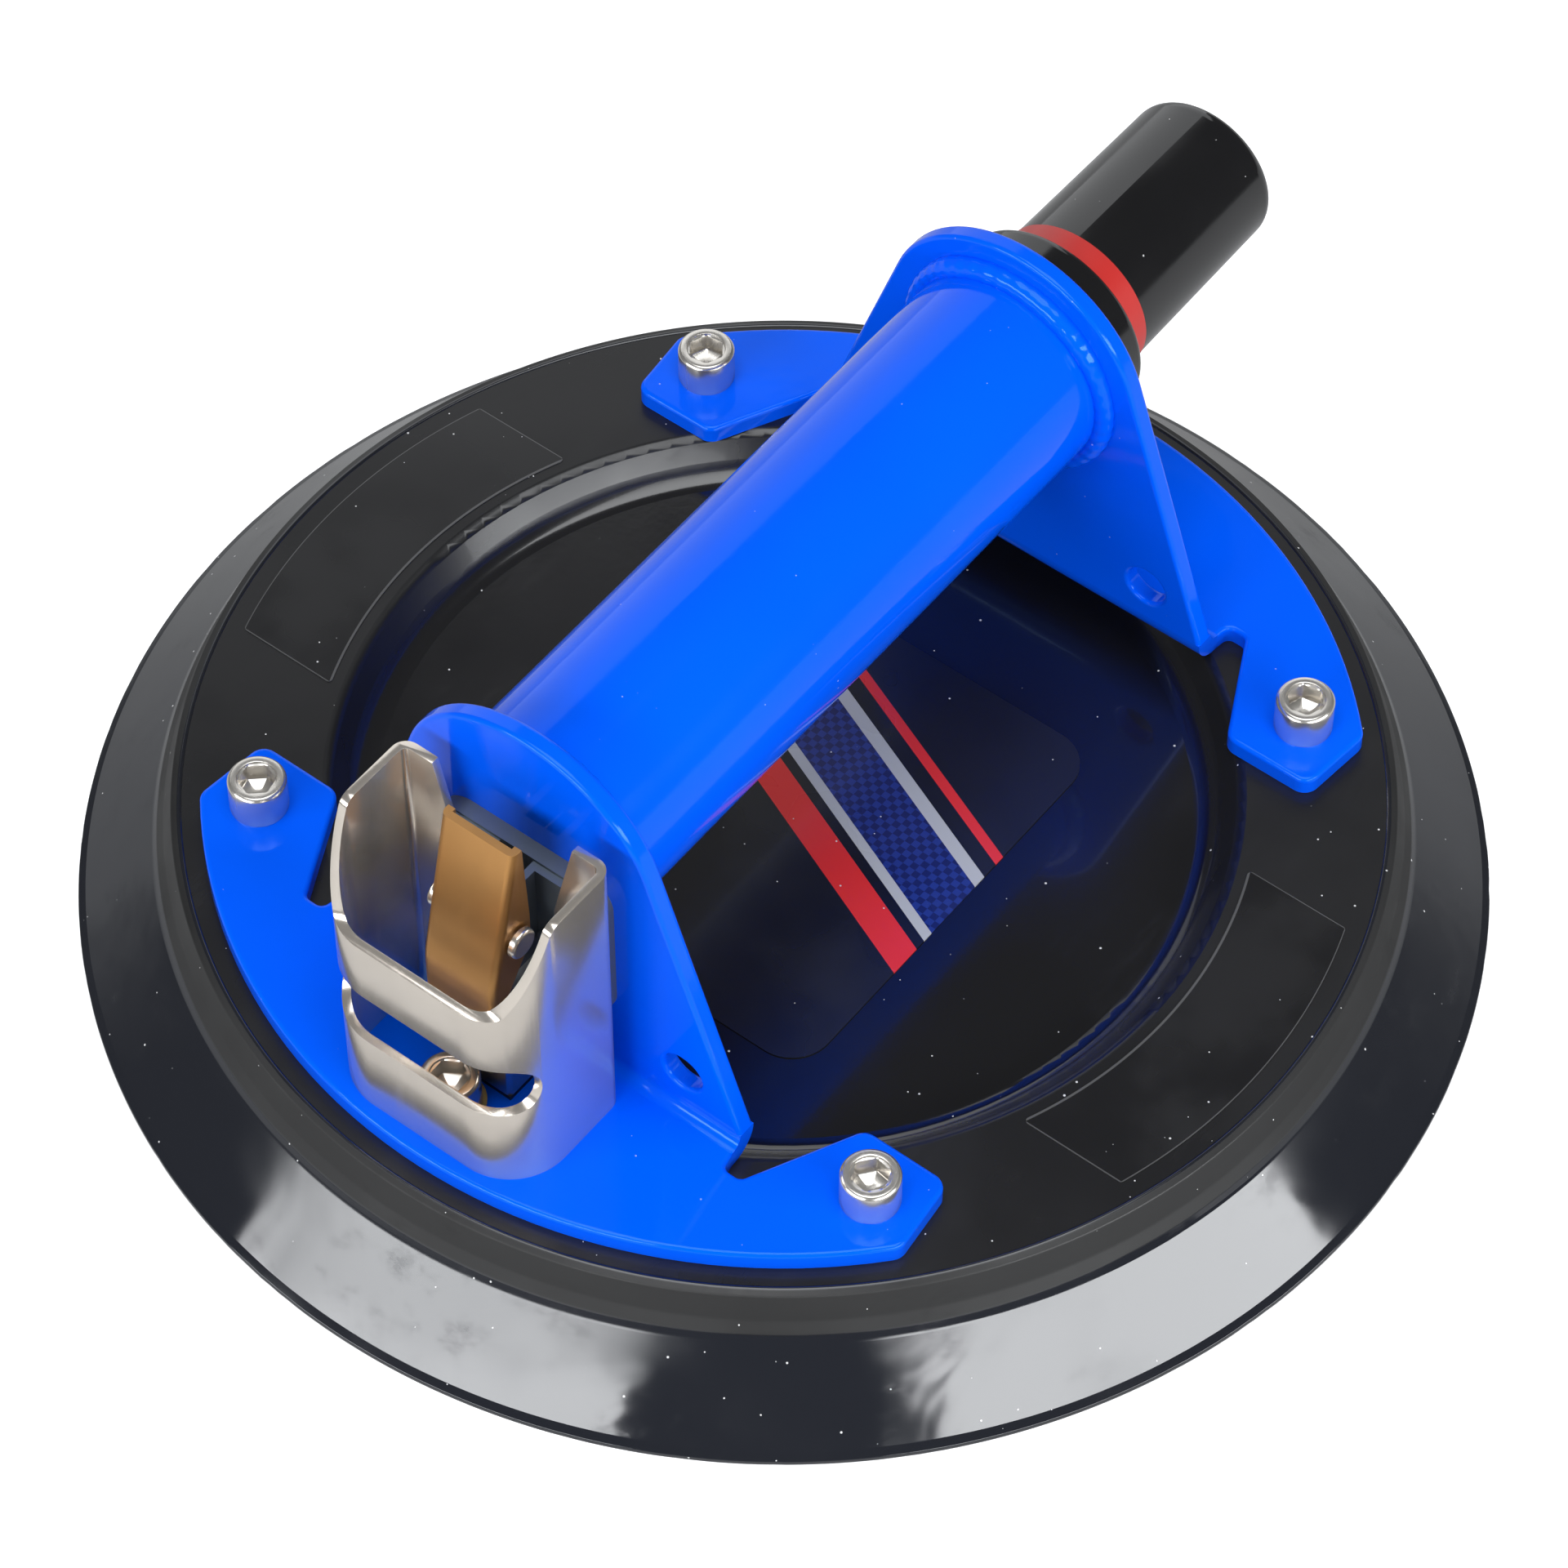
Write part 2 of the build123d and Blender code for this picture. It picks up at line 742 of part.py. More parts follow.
# Elbow from the hose down through the tube and the plate
elbow_bottom = dish_bottom - elbow_flange_thickness
with BuildPart() as vacuum_elbow:
    with BuildSketch(Plane.XY.offset(elbow_bottom)):
        with Locations((elbow_x, 0)):
            Circle(elbow_radius)
    extrude(amount=grip_height + elbow_cap_rise - elbow_bottom)
    with BuildSketch(Plane.XY.offset(elbow_bottom)):
        with Locations((elbow_x, 0)):
            Circle(elbow_flange_radius)
    extrude(amount=elbow_flange_thickness)
    with BuildSketch(on_grip(elbow_x)):
        Circle(plug_barb_radius)
    extrude(amount=elbow_arm_length)
    with BuildSketch(Plane.XY.offset(elbow_bottom)):
        with Locations((elbow_x, 0)):
            Circle(elbow_bore)
    extrude(amount=grip_height - elbow_bottom, mode=Mode.SUBTRACT)
    with BuildSketch(on_grip(elbow_x)):
        Circle(plug_bore)
    extrude(amount=elbow_arm_length, mode=Mode.SUBTRACT)
save(vacuum_elbow.part, "vacuum_elbow")

# Hose on the two barbs
hose_start = elbow_x + elbow_radius + hose_start_gap
with BuildPart() as vacuum_hose:
    with BuildSketch(on_grip(hose_start)):
        Circle(hose_radius)
        Circle(plug_barb_radius, mode=Mode.SUBTRACT)
    extrude(amount=hose_length)
save(vacuum_hose.part, "vacuum_hose")

# Washer and nut that clamp the elbow to the dish floor
with BuildPart() as port_washer:
    with BuildSketch(Plane.XY.offset(dish_floor)):
        with Locations((elbow_x, 0)):
            Circle(port_washer_radius)
            Circle(elbow_radius + press_clearance, mode=Mode.SUBTRACT)
    extrude(amount=port_washer_thickness)
save(port_washer.part, "port_washer")

with BuildPart() as port_nut:
    with BuildSketch(Plane.XY.offset(dish_floor + port_washer_thickness)):
        with Locations((elbow_x, 0)):
            RegularPolygon(flats_to_radius(port_nut_flats), 6)
            Circle(elbow_radius + press_clearance, mode=Mode.SUBTRACT)
    extrude(amount=port_nut_height)
save(port_nut.part, "port_nut")

# Felt filter under the elbow
with BuildPart() as port_filter:
    with BuildSketch(Plane.XY.offset(elbow_bottom)):
        with Locations((elbow_x, 0)):
            Circle(filter_radius)
    extrude(amount=-filter_thickness)
save(port_filter.part, "port_filter")

# Plated base plate on the near bracket
rivets = [(side * rivet_offset, rivet_height) for side in (-1, 1)]
base_plate_middle = (base_plate_top + base_plate_bottom) / 2
with BuildPart() as valve_base_plate:
    with BuildSketch(across(base_plate_front)):
        with Locations((0, base_plate_middle)):
            RectangleRounded(2 * base_plate_half, base_plate_top - base_plate_bottom, base_plate_corner)
        with Locations(*rivets):
            Circle(rivet_radius + press_clearance, mode=Mode.SUBTRACT)
    extrude(amount=base_plate_thickness)
save(valve_base_plate.part, "valve_base_plate")


def hinge_cheek(side):
    """Angle piece: a flange on the base plate and a cheek that carries the lever's pin."""
    with BuildPart() as cheek:
        with BuildSketch(Plane.XZ.offset(-side * cheek_inner)):
            with BuildLine():
                Line((hinge_front, hinge_bottom), (hinge_front, hinge_top))
                Line((hinge_front - cheek_flat_reach, hinge_top), (hinge_front, hinge_top))
            with Locations((hinge_front - cheek_flat_reach / 2, hinge_middle)):
                Rectangle(cheek_flat_reach, hinge_height)
            with Locations((pivot_x, pivot_z)):
                Circle(cheek_ear_radius)
            make_hull()
            with Locations((pivot_x, pivot_z)):
                Circle(pin_radius + press_clearance, mode=Mode.SUBTRACT)
        extrude(amount=-side * hinge_sheet)
        flange_middle = side * (cheek_inner + hinge_flange_reach) / 2
        with BuildSketch(across(hinge_front)):
            with Locations((flange_middle, hinge_middle)):
                Rectangle(hinge_flange_reach - cheek_inner, hinge_height)
            with Locations((side * rivet_offset, rivet_height)):
                Circle(rivet_radius + press_clearance, mode=Mode.SUBTRACT)
        extrude(amount=hinge_sheet)
    return cheek.part


save(hinge_cheek(1), "hinge_cheek_left")
save(hinge_cheek(-1), "hinge_cheek_right")

# Rivets through the cheeks' flanges and the base plate
with BuildPart() as hinge_rivets:
    with BuildSketch(across(hinge_front)):
        with Locations(*rivets):
            Circle(rivet_head_radius)
    extrude(amount=-rivet_head_height)
    fillet(hinge_rivets.edges().group_by(Axis.X)[0], rivet_head_height / 2)
    with BuildSketch(across(hinge_front)):
        with Locations(*rivets):
            Circle(rivet_radius)
    extrude(amount=hinge_sheet + base_plate_thickness)
save(hinge_rivets.part, "hinge_rivets")

# Release lever, a channel that straddles the cheeks
with BuildPart() as release_lever:
    with BuildSketch(Plane.XZ) as lever_side:
        with BuildLine():
            Polyline(
                (lever_front, lever_bottom_z),
                (lever_front, lever_bend_z),
                (lever_top_x, lever_top_z),
                (lever_top_x + lever_top_depth, lever_top_z),
                (pivot_x + lever_ear_radius, pivot_z + lever_ear_radius),
                (pivot_x + lever_ear_radius, pivot_z - lever_ear_radius),
                (lever_front + lever_tail_depth, lever_bend_z - lever_ear_radius),
                (lever_front + lever_tail_depth, lever_bottom_z),
                close=True,
            )
        make_face()
        bend = lever_side.vertices().filter_by_position(Axis.Y, lever_bend_z, lever_bend_z)
        fillet(bend.sort_by(Axis.X)[0], lever_bend_fillet)
    extrude(amount=lever_half_width, both=True)
    corner_edges = release_lever.edges().filter_by(
        lambda edge: abs(abs(edge.center().Y) - lever_half_width) < pick_reach
        and edge.center().X < lever_top_x - (lever_top_z - edge.center().Z) * lever_slope / 2
    )
    fillet(corner_edges, lever_edge_fillet)
    with BuildSketch(Plane.XZ) as channel:
        with BuildLine():
            Polyline(
                (lever_front + lever_sheet, lever_bottom_z - lever_sheet),
                (lever_front + lever_sheet, lever_bend_z),
                (lever_top_x + lever_sheet + lever_slope * lever_sheet, lever_top_z + lever_sheet),
                (lever_top_x + lever_bend_fillet, lever_top_z + lever_sheet),
                (lever_top_x + lever_bend_fillet, lever_bottom_z - lever_sheet),
                close=True,
            )
        make_face()
        inner_bend = channel.vertices().filter_by_position(Axis.Y, lever_bend_z, lever_bend_z)
        fillet(inner_bend.sort_by(Axis.X)[0], lever_bend_fillet - lever_sheet)
    extrude(amount=lever_half_width - lever_sheet, both=True, mode=Mode.SUBTRACT)
    with BuildSketch(Plane.XZ):
        with Locations((pivot_x, pivot_z)):
            Circle(pin_radius + running_clearance)
    extrude(amount=lever_half_width, both=True, mode=Mode.SUBTRACT)
save(release_lever.part, "release_lever")

# Pin through the lever and the cheeks, its heads peened over
with BuildPart() as lever_pin:
    with BuildSketch(Plane.XZ):
        with Locations((pivot_x, pivot_z)):
            Circle(pin_radius)
    extrude(amount=lever_half_width + loose_clearance, both=True)
    for side in (-1, 1):
        with BuildSketch(Plane.XZ.offset(side * (lever_half_width + loose_clearance))):
            with Locations((pivot_x, pivot_z)):
                Circle(pin_head_radius)
        extrude(amount=side * pin_head_height)
    heads = lever_pin.edges().filter_by(GeomType.CIRCLE).group_by(Axis.Y)
    fillet(heads[0] + heads[-1], pin_head_height / 2)
save(lever_pin.part, "lever_pin")

# Torsion spring on the pin: a coil with one leg behind the lever and one towards the plate
lever_spring_pitch = 2 * (lever_spring_wire + press_clearance)
spring_length = lever_spring_turns * lever_spring_pitch
with BuildPart() as lever_spring:
    with BuildLine() as spring_path:
        Helix(
            pitch=lever_spring_pitch,
            height=spring_length,
            radius=lever_spring_radius,
            center=(pivot_x, -spring_length / 2, pivot_z),
            direction=(0, 1, 0),
        )
    with BuildSketch(Plane(origin=spring_path.line @ 0, z_dir=spring_path.line % 0)):
        Circle(lever_spring_wire)
    sweep(is_frenet=True)
    for at, length in ((0, lever_spring_front_leg), (1, lever_spring_rear_leg)):
        heading = (spring_path.line % at) * (1 if at else -1)
        with BuildSketch(Plane(origin=spring_path.line @ at, z_dir=heading)):
            Circle(lever_spring_wire)
        extrude(amount=length)
save(lever_spring.part, "lever_spring")

# Rubber face on the lever's tail that closes the vent nozzle
with BuildPart() as valve_seal:
    with BuildSketch(across(lever_front + lever_sheet)):
        with Locations((0, nozzle_height)):
            Circle(valve_seal_radius)
    extrude(amount=valve_seal_thickness)
save(valve_seal.part, "valve_seal")

# Gasket between the foot and the vent block
block_screws = [(block_screw_x, side * block_screw_y) for side in (-1, 1)]
block_base_middle = (block_front + block_back) / 2
with BuildPart() as vent_gasket:
    with BuildSketch(Plane.XY.offset(foot_top)):
        with Locations((block_base_middle, 0)):
            Rectangle(block_back - block_front, 2 * block_half_width)
        with Locations((vent_x, 0)):
            Circle(vent_radius, mode=Mode.SUBTRACT)
        with Locations(*block_screws):
            Circle(block_screw_radius + press_clearance, mode=Mode.SUBTRACT)
    extrude(amount=gasket_thickness)
save(vent_gasket.part, "vent_gasket")

# Vent block with its nozzle and drilled passage
with BuildPart() as vent_block:
    with BuildSketch(Plane.XZ):
        with BuildLine():
            Polyline(
                (block_front, block_bottom),
                (block_front, ledge_top),
                (block_step_x, ledge_top),
                (block_step_x, block_top),
                (block_back, block_top),
                (block_back, block_bottom),
                close=True,
            )
        make_face()
    extrude(amount=block_half_width, both=True)
    chamfer(vent_block.edges().filter_by(Axis.Z), block_edge_chamfer)
    with BuildSketch(across(block_step_x)):
        with Locations((0, nozzle_height)):
            Circle(nozzle_radius)
    extrude(amount=nozzle_tip - block_step_x)
    with BuildSketch(across(nozzle_tip)):
        with Locations((0, nozzle_height)):
            Circle(nozzle_bore)
    extrude(amount=vent_riser_x + vent_radius - nozzle_tip, mode=Mode.SUBTRACT)
    with BuildSketch(Plane.XY.offset(gallery_z)):
        with Locations((vent_riser_x, 0)):
            Circle(vent_radius)
    extrude(amount=nozzle_height - gallery_z, mode=Mode.SUBTRACT)
    with BuildSketch(across(vent_x)):
        with Locations((0, gallery_z)):
            Circle(vent_radius)
    extrude(amount=vent_riser_x - vent_x, mode=Mode.SUBTRACT)
    with BuildSketch(Plane.XY.offset(block_bottom)):
        with Locations((vent_x, 0)):
            Circle(vent_radius)
    extrude(amount=gallery_z - block_bottom, mode=Mode.SUBTRACT)
    with BuildSketch(Plane.XY.offset(block_bottom)):
        with Locations(*block_screws):
            Circle(block_screw_radius + press_clearance)
    extrude(amount=block_ledge_rise, mode=Mode.SUBTRACT)
save(vent_block.part, "vent_block")

# Slotted screws that hold the vent block down
with BuildPart() as vent_block_screws:
    with BuildSketch(Plane.XY.offset(ledge_top)):
        with Locations(*block_screws):
            Circle(block_screw_head_radius)
    extrude(amount=block_screw_head_height)
    with BuildSketch(Plane.XY.offset(ledge_top)):
        with Locations(*block_screws):
            Circle(block_screw_radius)
    extrude(amount=plate_top - ledge_top)
    with BuildSketch(Plane.XY.offset(ledge_top + block_screw_head_height)):
        with Locations(*block_screws):
            Rectangle(2 * block_screw_head_radius, block_slot_width)
    extrude(amount=-block_slot_depth, mode=Mode.SUBTRACT)
save(vent_block_screws.part, "vent_block_screws")

# Guard, a folded sheet round the lever, low and slotted in front
guard_back = hinge_front
guard_length = guard_back - guard_front
guard_center = (guard_back + guard_front) / 2
with BuildPart() as lever_guard:
    with BuildSketch(Plane.XY.offset(foot_top)) as plan:
        with Locations((guard_center, 0)):
            Rectangle(guard_length, 2 * guard_half_width)
        fillet(plan.vertices().group_by(Axis.X)[0], guard_front_radius)
        fillet(plan.vertices().group_by(Axis.X)[-1], guard_back_radius)
    extrude(amount=guard_side_top - foot_top)
    with BuildSketch(Plane.XY.offset(foot_top)) as hollow:
        with Locations((guard_center, 0)):
            Rectangle(guard_length - 2 * guard_sheet, 2 * (guard_half_width - guard_sheet))
        fillet(hollow.vertices().group_by(Axis.X)[0], guard_front_radius - guard_sheet)
        fillet(hollow.vertices().group_by(Axis.X)[-1], guard_back_radius - guard_sheet)
    extrude(amount=guard_side_top - foot_top, mode=Mode.SUBTRACT)
    with BuildSketch(across(guard_back)):
        with BuildLine():
            Polyline(
                (guard_flange_end_low, foot_top),
                (guard_flange_end_low, guard_flange_slant_z),
                (guard_flange_end_top, guard_side_top),
                (-guard_flange_end_top, guard_side_top),
                (-guard_flange_end_low, guard_flange_slant_z),
                (-guard_flange_end_low, foot_top),
                close=True,
            )
        make_face()
    extrude(amount=-guard_sheet, mode=Mode.SUBTRACT)
    with BuildSketch(Plane.XZ) as silhouette:
        with BuildLine():
            Polyline(
                (guard_back, foot_top),
                (guard_back, guard_side_top),
                (guard_kink_x, guard_side_top),
                (guard_step_x, guard_front_top),
                (guard_front, guard_front_top),
                (guard_front, foot_top),
                close=True,
            )
        make_face()
        kink = silhouette.vertices().filter_by_position(Axis.X, guard_kink_x, guard_kink_x)
        fillet(kink, guard_kink_fillet)
        step = silhouette.vertices().filter_by_position(Axis.X, guard_step_x, guard_step_x)
        fillet(step, guard_step_fillet)
    extrude(amount=guard_half_width, both=True, mode=Mode.INTERSECT)
    slot_half = (guard_slot_top - guard_slot_bottom) / 2
    slot_middle = (guard_slot_top + guard_slot_bottom) / 2
    with BuildSketch(Plane.XZ):
        with Locations((guard_slot_reach - slot_half, slot_middle)):
            Circle(slot_half)
            Rectangle(guard_front_radius, 2 * slot_half, align=(Align.MAX, Align.CENTER))
    extrude(amount=guard_half_width, both=True, mode=Mode.SUBTRACT)
save(lever_guard.part, "lever_guard")

# Label film on the dish floor
with BuildPart() as center_label:
    with BuildSketch(Plane.XY.offset(dish_floor)):
        with Locations(((label_front_x + label_back_x) / 2, 0)):
            RectangleRounded(label_back_x - label_front_x, 2 * label_half_width, label_corner)
    extrude(amount=label_thickness)
save(center_label.part, "center_label")


def rim_film(side):
    """Curved film with square ends on the plate's rim, on the side of +Y or -Y."""
    with BuildPart() as film:
        with BuildSketch(Plane.XY.offset(plate_top)) as outline:
            Circle(film_outer_radius)
            Circle(film_inner_radius, mode=Mode.SUBTRACT)
            with Locations((0, side * film_outer_radius / 2)):
                Rectangle(2 * film_half_length, film_outer_radius, mode=Mode.INTERSECT)
            fillet(outline.vertices(), film_corner)
        extrude(amount=film_thickness)
    return film.part


save(rim_film(1), "rim_film_left")
save(rim_film(-1), "rim_film_right")
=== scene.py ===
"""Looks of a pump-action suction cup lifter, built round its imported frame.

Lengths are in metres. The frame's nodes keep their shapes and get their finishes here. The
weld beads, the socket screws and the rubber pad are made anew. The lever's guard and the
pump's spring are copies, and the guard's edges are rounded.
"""
import math

import bmesh
import bpy
from bpy.props import FloatProperty, FloatVectorProperty, IntProperty, PointerProperty
from mathutils import Euler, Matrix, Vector


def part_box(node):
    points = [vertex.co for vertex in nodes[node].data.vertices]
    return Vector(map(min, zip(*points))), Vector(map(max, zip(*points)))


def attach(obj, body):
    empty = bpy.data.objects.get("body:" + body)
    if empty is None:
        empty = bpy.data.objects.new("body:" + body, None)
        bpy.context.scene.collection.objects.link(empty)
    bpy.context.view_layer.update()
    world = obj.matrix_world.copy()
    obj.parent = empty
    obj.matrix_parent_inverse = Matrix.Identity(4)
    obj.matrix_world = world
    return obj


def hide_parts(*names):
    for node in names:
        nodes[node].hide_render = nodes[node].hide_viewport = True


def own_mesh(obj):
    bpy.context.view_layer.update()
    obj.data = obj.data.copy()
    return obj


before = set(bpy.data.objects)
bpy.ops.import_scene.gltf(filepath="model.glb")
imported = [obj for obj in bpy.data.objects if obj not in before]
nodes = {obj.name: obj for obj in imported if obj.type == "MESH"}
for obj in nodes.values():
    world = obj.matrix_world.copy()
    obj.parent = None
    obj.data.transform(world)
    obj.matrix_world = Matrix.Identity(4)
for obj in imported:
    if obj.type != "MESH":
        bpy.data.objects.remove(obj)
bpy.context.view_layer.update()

bl_info = {
    "name": "Suction cup lifter",
    "version": (1, 0, 0),
    "blender": (4, 5, 0),
    "location": "3D View > Sidebar > Lifter",
    "description": "Finishes and detail pieces of a hand vacuum lifter",
    "category": "Object",
}

mm = 0.001
head_height = 6.1 * mm


def screen(red, green, blue):
    """Linear colour of a screen colour given from 0 to 255."""
    return tuple(
        c / 255 / 12.92 if c <= 10 else ((c / 255 + 0.055) / 1.055) ** 2.4 for c in (red, green, blue)
    )


def colour(name, description, *rgb):
    """A colour property with its default in screen values."""
    return FloatVectorProperty(
        name=name, description=description, default=screen(*rgb), size=3, min=0, max=1, subtype="COLOR"
    )


def length(name, description, value):
    """A length property with its default in millimetres."""
    return FloatProperty(name=name, description=description, default=value * mm, unit="LENGTH")


class LifterColours(bpy.types.PropertyGroup):
    blue: colour("Blue coat", "Powder coat of the brackets and the grip", 0, 88, 240)
    black: colour("Black coat", "Coat of the backing plate", 18, 18, 20)
    rubber: colour("Rubber", "Pad", 25, 27, 33)
    bead: colour("Bead", "Matte slope of the pad's bead", 11, 11, 12)
    plastic: colour("Plastic", "Knob and collar", 14, 14, 16)
    ring: colour("Ring", "Indicator ring of the pump", 186, 40, 36)
    nickel: colour("Nickel", "Plating of the screws and the pin", 228, 224, 217)
    stainless: colour("Stainless steel", "Guard of the lever", 228, 219, 208)
    zinc: colour("Zinc", "Plating of the hinge", 114, 124, 134)
    brass: colour("Brass", "Release lever", 204, 152, 92)
    dust: colour("Dust", "Specks on the dark surfaces", 200, 200, 200)
    stripe_red: colour("Red stripe", "Label", 206, 44, 40)
    stripe_grey: colour("Grey stripe", "Label", 168, 170, 174)
    stripe_blue: colour("Blue stripe", "Label", 30, 48, 122)
    floor: colour("Floor", "Plain floor under the lifter", 238, 238, 238)


class LifterSizes(bpy.types.PropertyGroup):
    bead_width: length("Weld width", "Width of the weld beads", 3.4)
    bead_waves: IntProperty(name="Weld waves", description="Ripples round one weld bead", default=44)
    screw_head: length("Screw head", "Radius of the socket screws' heads", 4.35)
    socket_flats: length("Socket", "Width of the hexagon socket across its flats", 5.0)
    socket_depth: length("Socket depth", "Depth of the hexagon socket", 3.4)
    guard_edge: length("Guard edge", "Rounding of the guard's cut edges", 0.2)
    lip_waver: length("Lip waver", "How far the pad's trimmed lip strays inwards", 0.22)
    plunger_travel: length("Plunger travel", "How far the plunger presses the pump's spring", 36.0)


def add_object(name, data):
    """Puts a new object into the scene."""
    made = bpy.data.objects.new(name, data)
    bpy.context.scene.collection.objects.link(made)
    return made


# Making nodes


def place(tree, kind, inputs=None, **settings):
    """Adds a node. Its inputs are sockets to join or plain values, by name or number."""
    made = tree.nodes.new(kind)
    for key, value in settings.items():
        setattr(made, key, value)
    for key, value in (inputs or {}).items():
        if isinstance(value, bpy.types.NodeSocket):
            tree.links.new(value, made.inputs[key])
        elif isinstance(value, tuple) and len(value) == 3 and made.inputs[key].type == "RGBA":
            made.inputs[key].default_value = (*value, 1)
        else:
            made.inputs[key].default_value = value
    return made


def maths(tree, operation, first, second=0.0, third=0.0):
    """Adds a Math node and returns its result."""
    return place(tree, "ShaderNodeMath", {0: first, 1: second, 2: third}, operation=operation).outputs[0]


def mix(tree, factor, first, second):
    """Mixes two colours and returns the result."""
    made = place(tree, "ShaderNodeMix", data_type="RGBA")
    for spot, value in ((0, factor), (6, first), (7, second)):
        if isinstance(value, bpy.types.NodeSocket):
            tree.links.new(value, made.inputs[spot])
        elif spot:
            made.inputs[spot].default_value = (*value, 1)
        else:
            made.inputs[spot].default_value = value
    return made.outputs[2]


def ramp(tree, value, low, high, start=0.0, end=1.0):
    """Maps low..high to start..end smoothly."""
    return place(
        tree,
        "ShaderNodeMapRange",
        {"Value": value, "From Min": low, "From Max": high, "To Min": start, "To Max": end},
        interpolation_type="SMOOTHSTEP",
    ).outputs[0]


def spot_on(tree):
    """Object coordinates."""
    return place(tree, "ShaderNodeTexCoord").outputs["Object"]


def new_group(name, inputs, output, socket="NodeSocketFloat"):
    """A shader group with named float inputs and one output. Returns the group and its two ends."""
    group = bpy.data.node_groups.new(name, "ShaderNodeTree")
    for label, value in inputs.items():
        made = group.interface.new_socket(label, in_out="INPUT", socket_type="NodeSocketFloat")
        made.default_value = value
    group.interface.new_socket(output, in_out="OUTPUT", socket_type=socket)
    return group, group.nodes.new("NodeGroupInput"), group.nodes.new("NodeGroupOutput")


def dust_group():
    """Specks of dust: small dots in some cells of a scattered pattern."""
    group, start, end = new_group("Dust specks", {"Scale": 380.0, "Amount": 0.65, "Size": 0.065}, "Mask")
    cells = place(group, "ShaderNodeTexVoronoi", {"Vector": spot_on(group), "Scale": start.outputs["Scale"]})
    pick = place(group, "ShaderNodeSeparateColor", {"Color": cells.outputs["Color"]})
    chosen = maths(group, "LESS_THAN", pick.outputs[0], start.outputs["Amount"])
    reach = maths(group, "MULTIPLY", start.outputs["Size"], ramp(group, pick.outputs[1], 0.0, 1.0, 0.3, 1.0))
    near = maths(group, "LESS_THAN", cells.outputs["Distance"], reach)
    group.links.new(maths(group, "MULTIPLY", chosen, near), end.inputs[0])
    return group


def wear_group():
    """Fine hairlines along one axis, broken up by patches."""
    group, start, end = new_group(
        "Hairlines", {"Scale": 400.0, "Along X": 1.0, "Along Y": 1.0, "Along Z": 0.04}, "Mask"
    )
    stretch = place(
        group,
        "ShaderNodeCombineXYZ",
        {"X": start.outputs["Along X"], "Y": start.outputs["Along Y"], "Z": start.outputs["Along Z"]},
    )
    spot = place(
        group, "ShaderNodeVectorMath", {0: spot_on(group), 1: stretch.outputs[0]}, operation="MULTIPLY"
    )
    lines = place(
        group,
        "ShaderNodeTexNoise",
        {"Vector": spot.outputs[0], "Scale": start.outputs["Scale"], "Detail": 4.0, "Roughness": 0.7},
    )
    patches = place(group, "ShaderNodeTexNoise", {"Vector": spot_on(group), "Scale": 60.0, "Detail": 2.0})
    strong = ramp(group, lines.outputs["Fac"], 0.5, 0.72)
    where = ramp(group, patches.outputs["Fac"], 0.35, 0.65)
    group.links.new(maths(group, "MULTIPLY", strong, where), end.inputs[0])
    return group


def cloud_group():
    """Slow patches, such as handling marks and uneven gloss."""
    group, start, end = new_group("Patches", {"Scale": 30.0, "Detail": 3.0}, "Value")
    cloud = place(
        group,
        "ShaderNodeTexNoise",
        {"Vector": spot_on(group), "Scale": start.outputs["Scale"], "Detail": start.outputs["Detail"]},
    )
    group.links.new(ramp(group, cloud.outputs["Fac"], 0.3, 0.7), end.inputs[0])
    return group


def radius_group():
    """Distance from the pad's axis in millimetres."""
    group, start, end = new_group("Radius", {"Offset": 0.0}, "Radius")
    parts = place(group, "ShaderNodeSeparateXYZ", {0: spot_on(group)})
    flat = place(group, "ShaderNodeCombineXYZ", {"X": parts.outputs[0], "Y": parts.outputs[1]})
    far = place(group, "ShaderNodeVectorMath", {0: flat.outputs[0]}, operation="LENGTH")
    far_mm = maths(group, "MULTIPLY", far.outputs["Value"], 1 / mm)
    group.links.new(maths(group, "ADD", far_mm, start.outputs["Offset"]), end.inputs[0])
    return group


groups = {}


def effect(tree, name, **inputs):
    """Places one of the shared effects in a material and returns its output."""
    made = place(tree, "ShaderNodeGroup", node_tree=groups[name])
    for key, value in inputs.items():
        made.inputs[key.replace("_", " ").title()].default_value = value
    return made.outputs[0]


def new_material(name, **shader):
    """A material with its Principled shader. Plain values are set on the shader's own sockets."""
    made = bpy.data.materials.new(name)
    made.use_nodes = True
    tree = made.node_tree
    tree.nodes.clear()
    surface = place(tree, "ShaderNodeBsdfPrincipled")
    place(tree, "ShaderNodeOutputMaterial", {"Surface": surface.outputs[0]})
    for key, value in shader.items():
        spot = surface.inputs[key.replace("_", " ").title().replace("Ior", "IOR")]
        spot.default_value = (*value, 1) if isinstance(value, tuple) else value
    return made, tree, surface


def feed(tree, surface, name, socket):
    """Joins a value to one of the shader's inputs."""
    tree.links.new(socket, surface.inputs[name])


def bump(tree, surface, height, distance, strength=1.0):
    """Bends the surface's normals by a height."""
    made = place(tree, "ShaderNodeBump", {"Strength": strength, "Distance": distance, "Height": height})
    feed(tree, surface, "Normal", made.outputs[0])


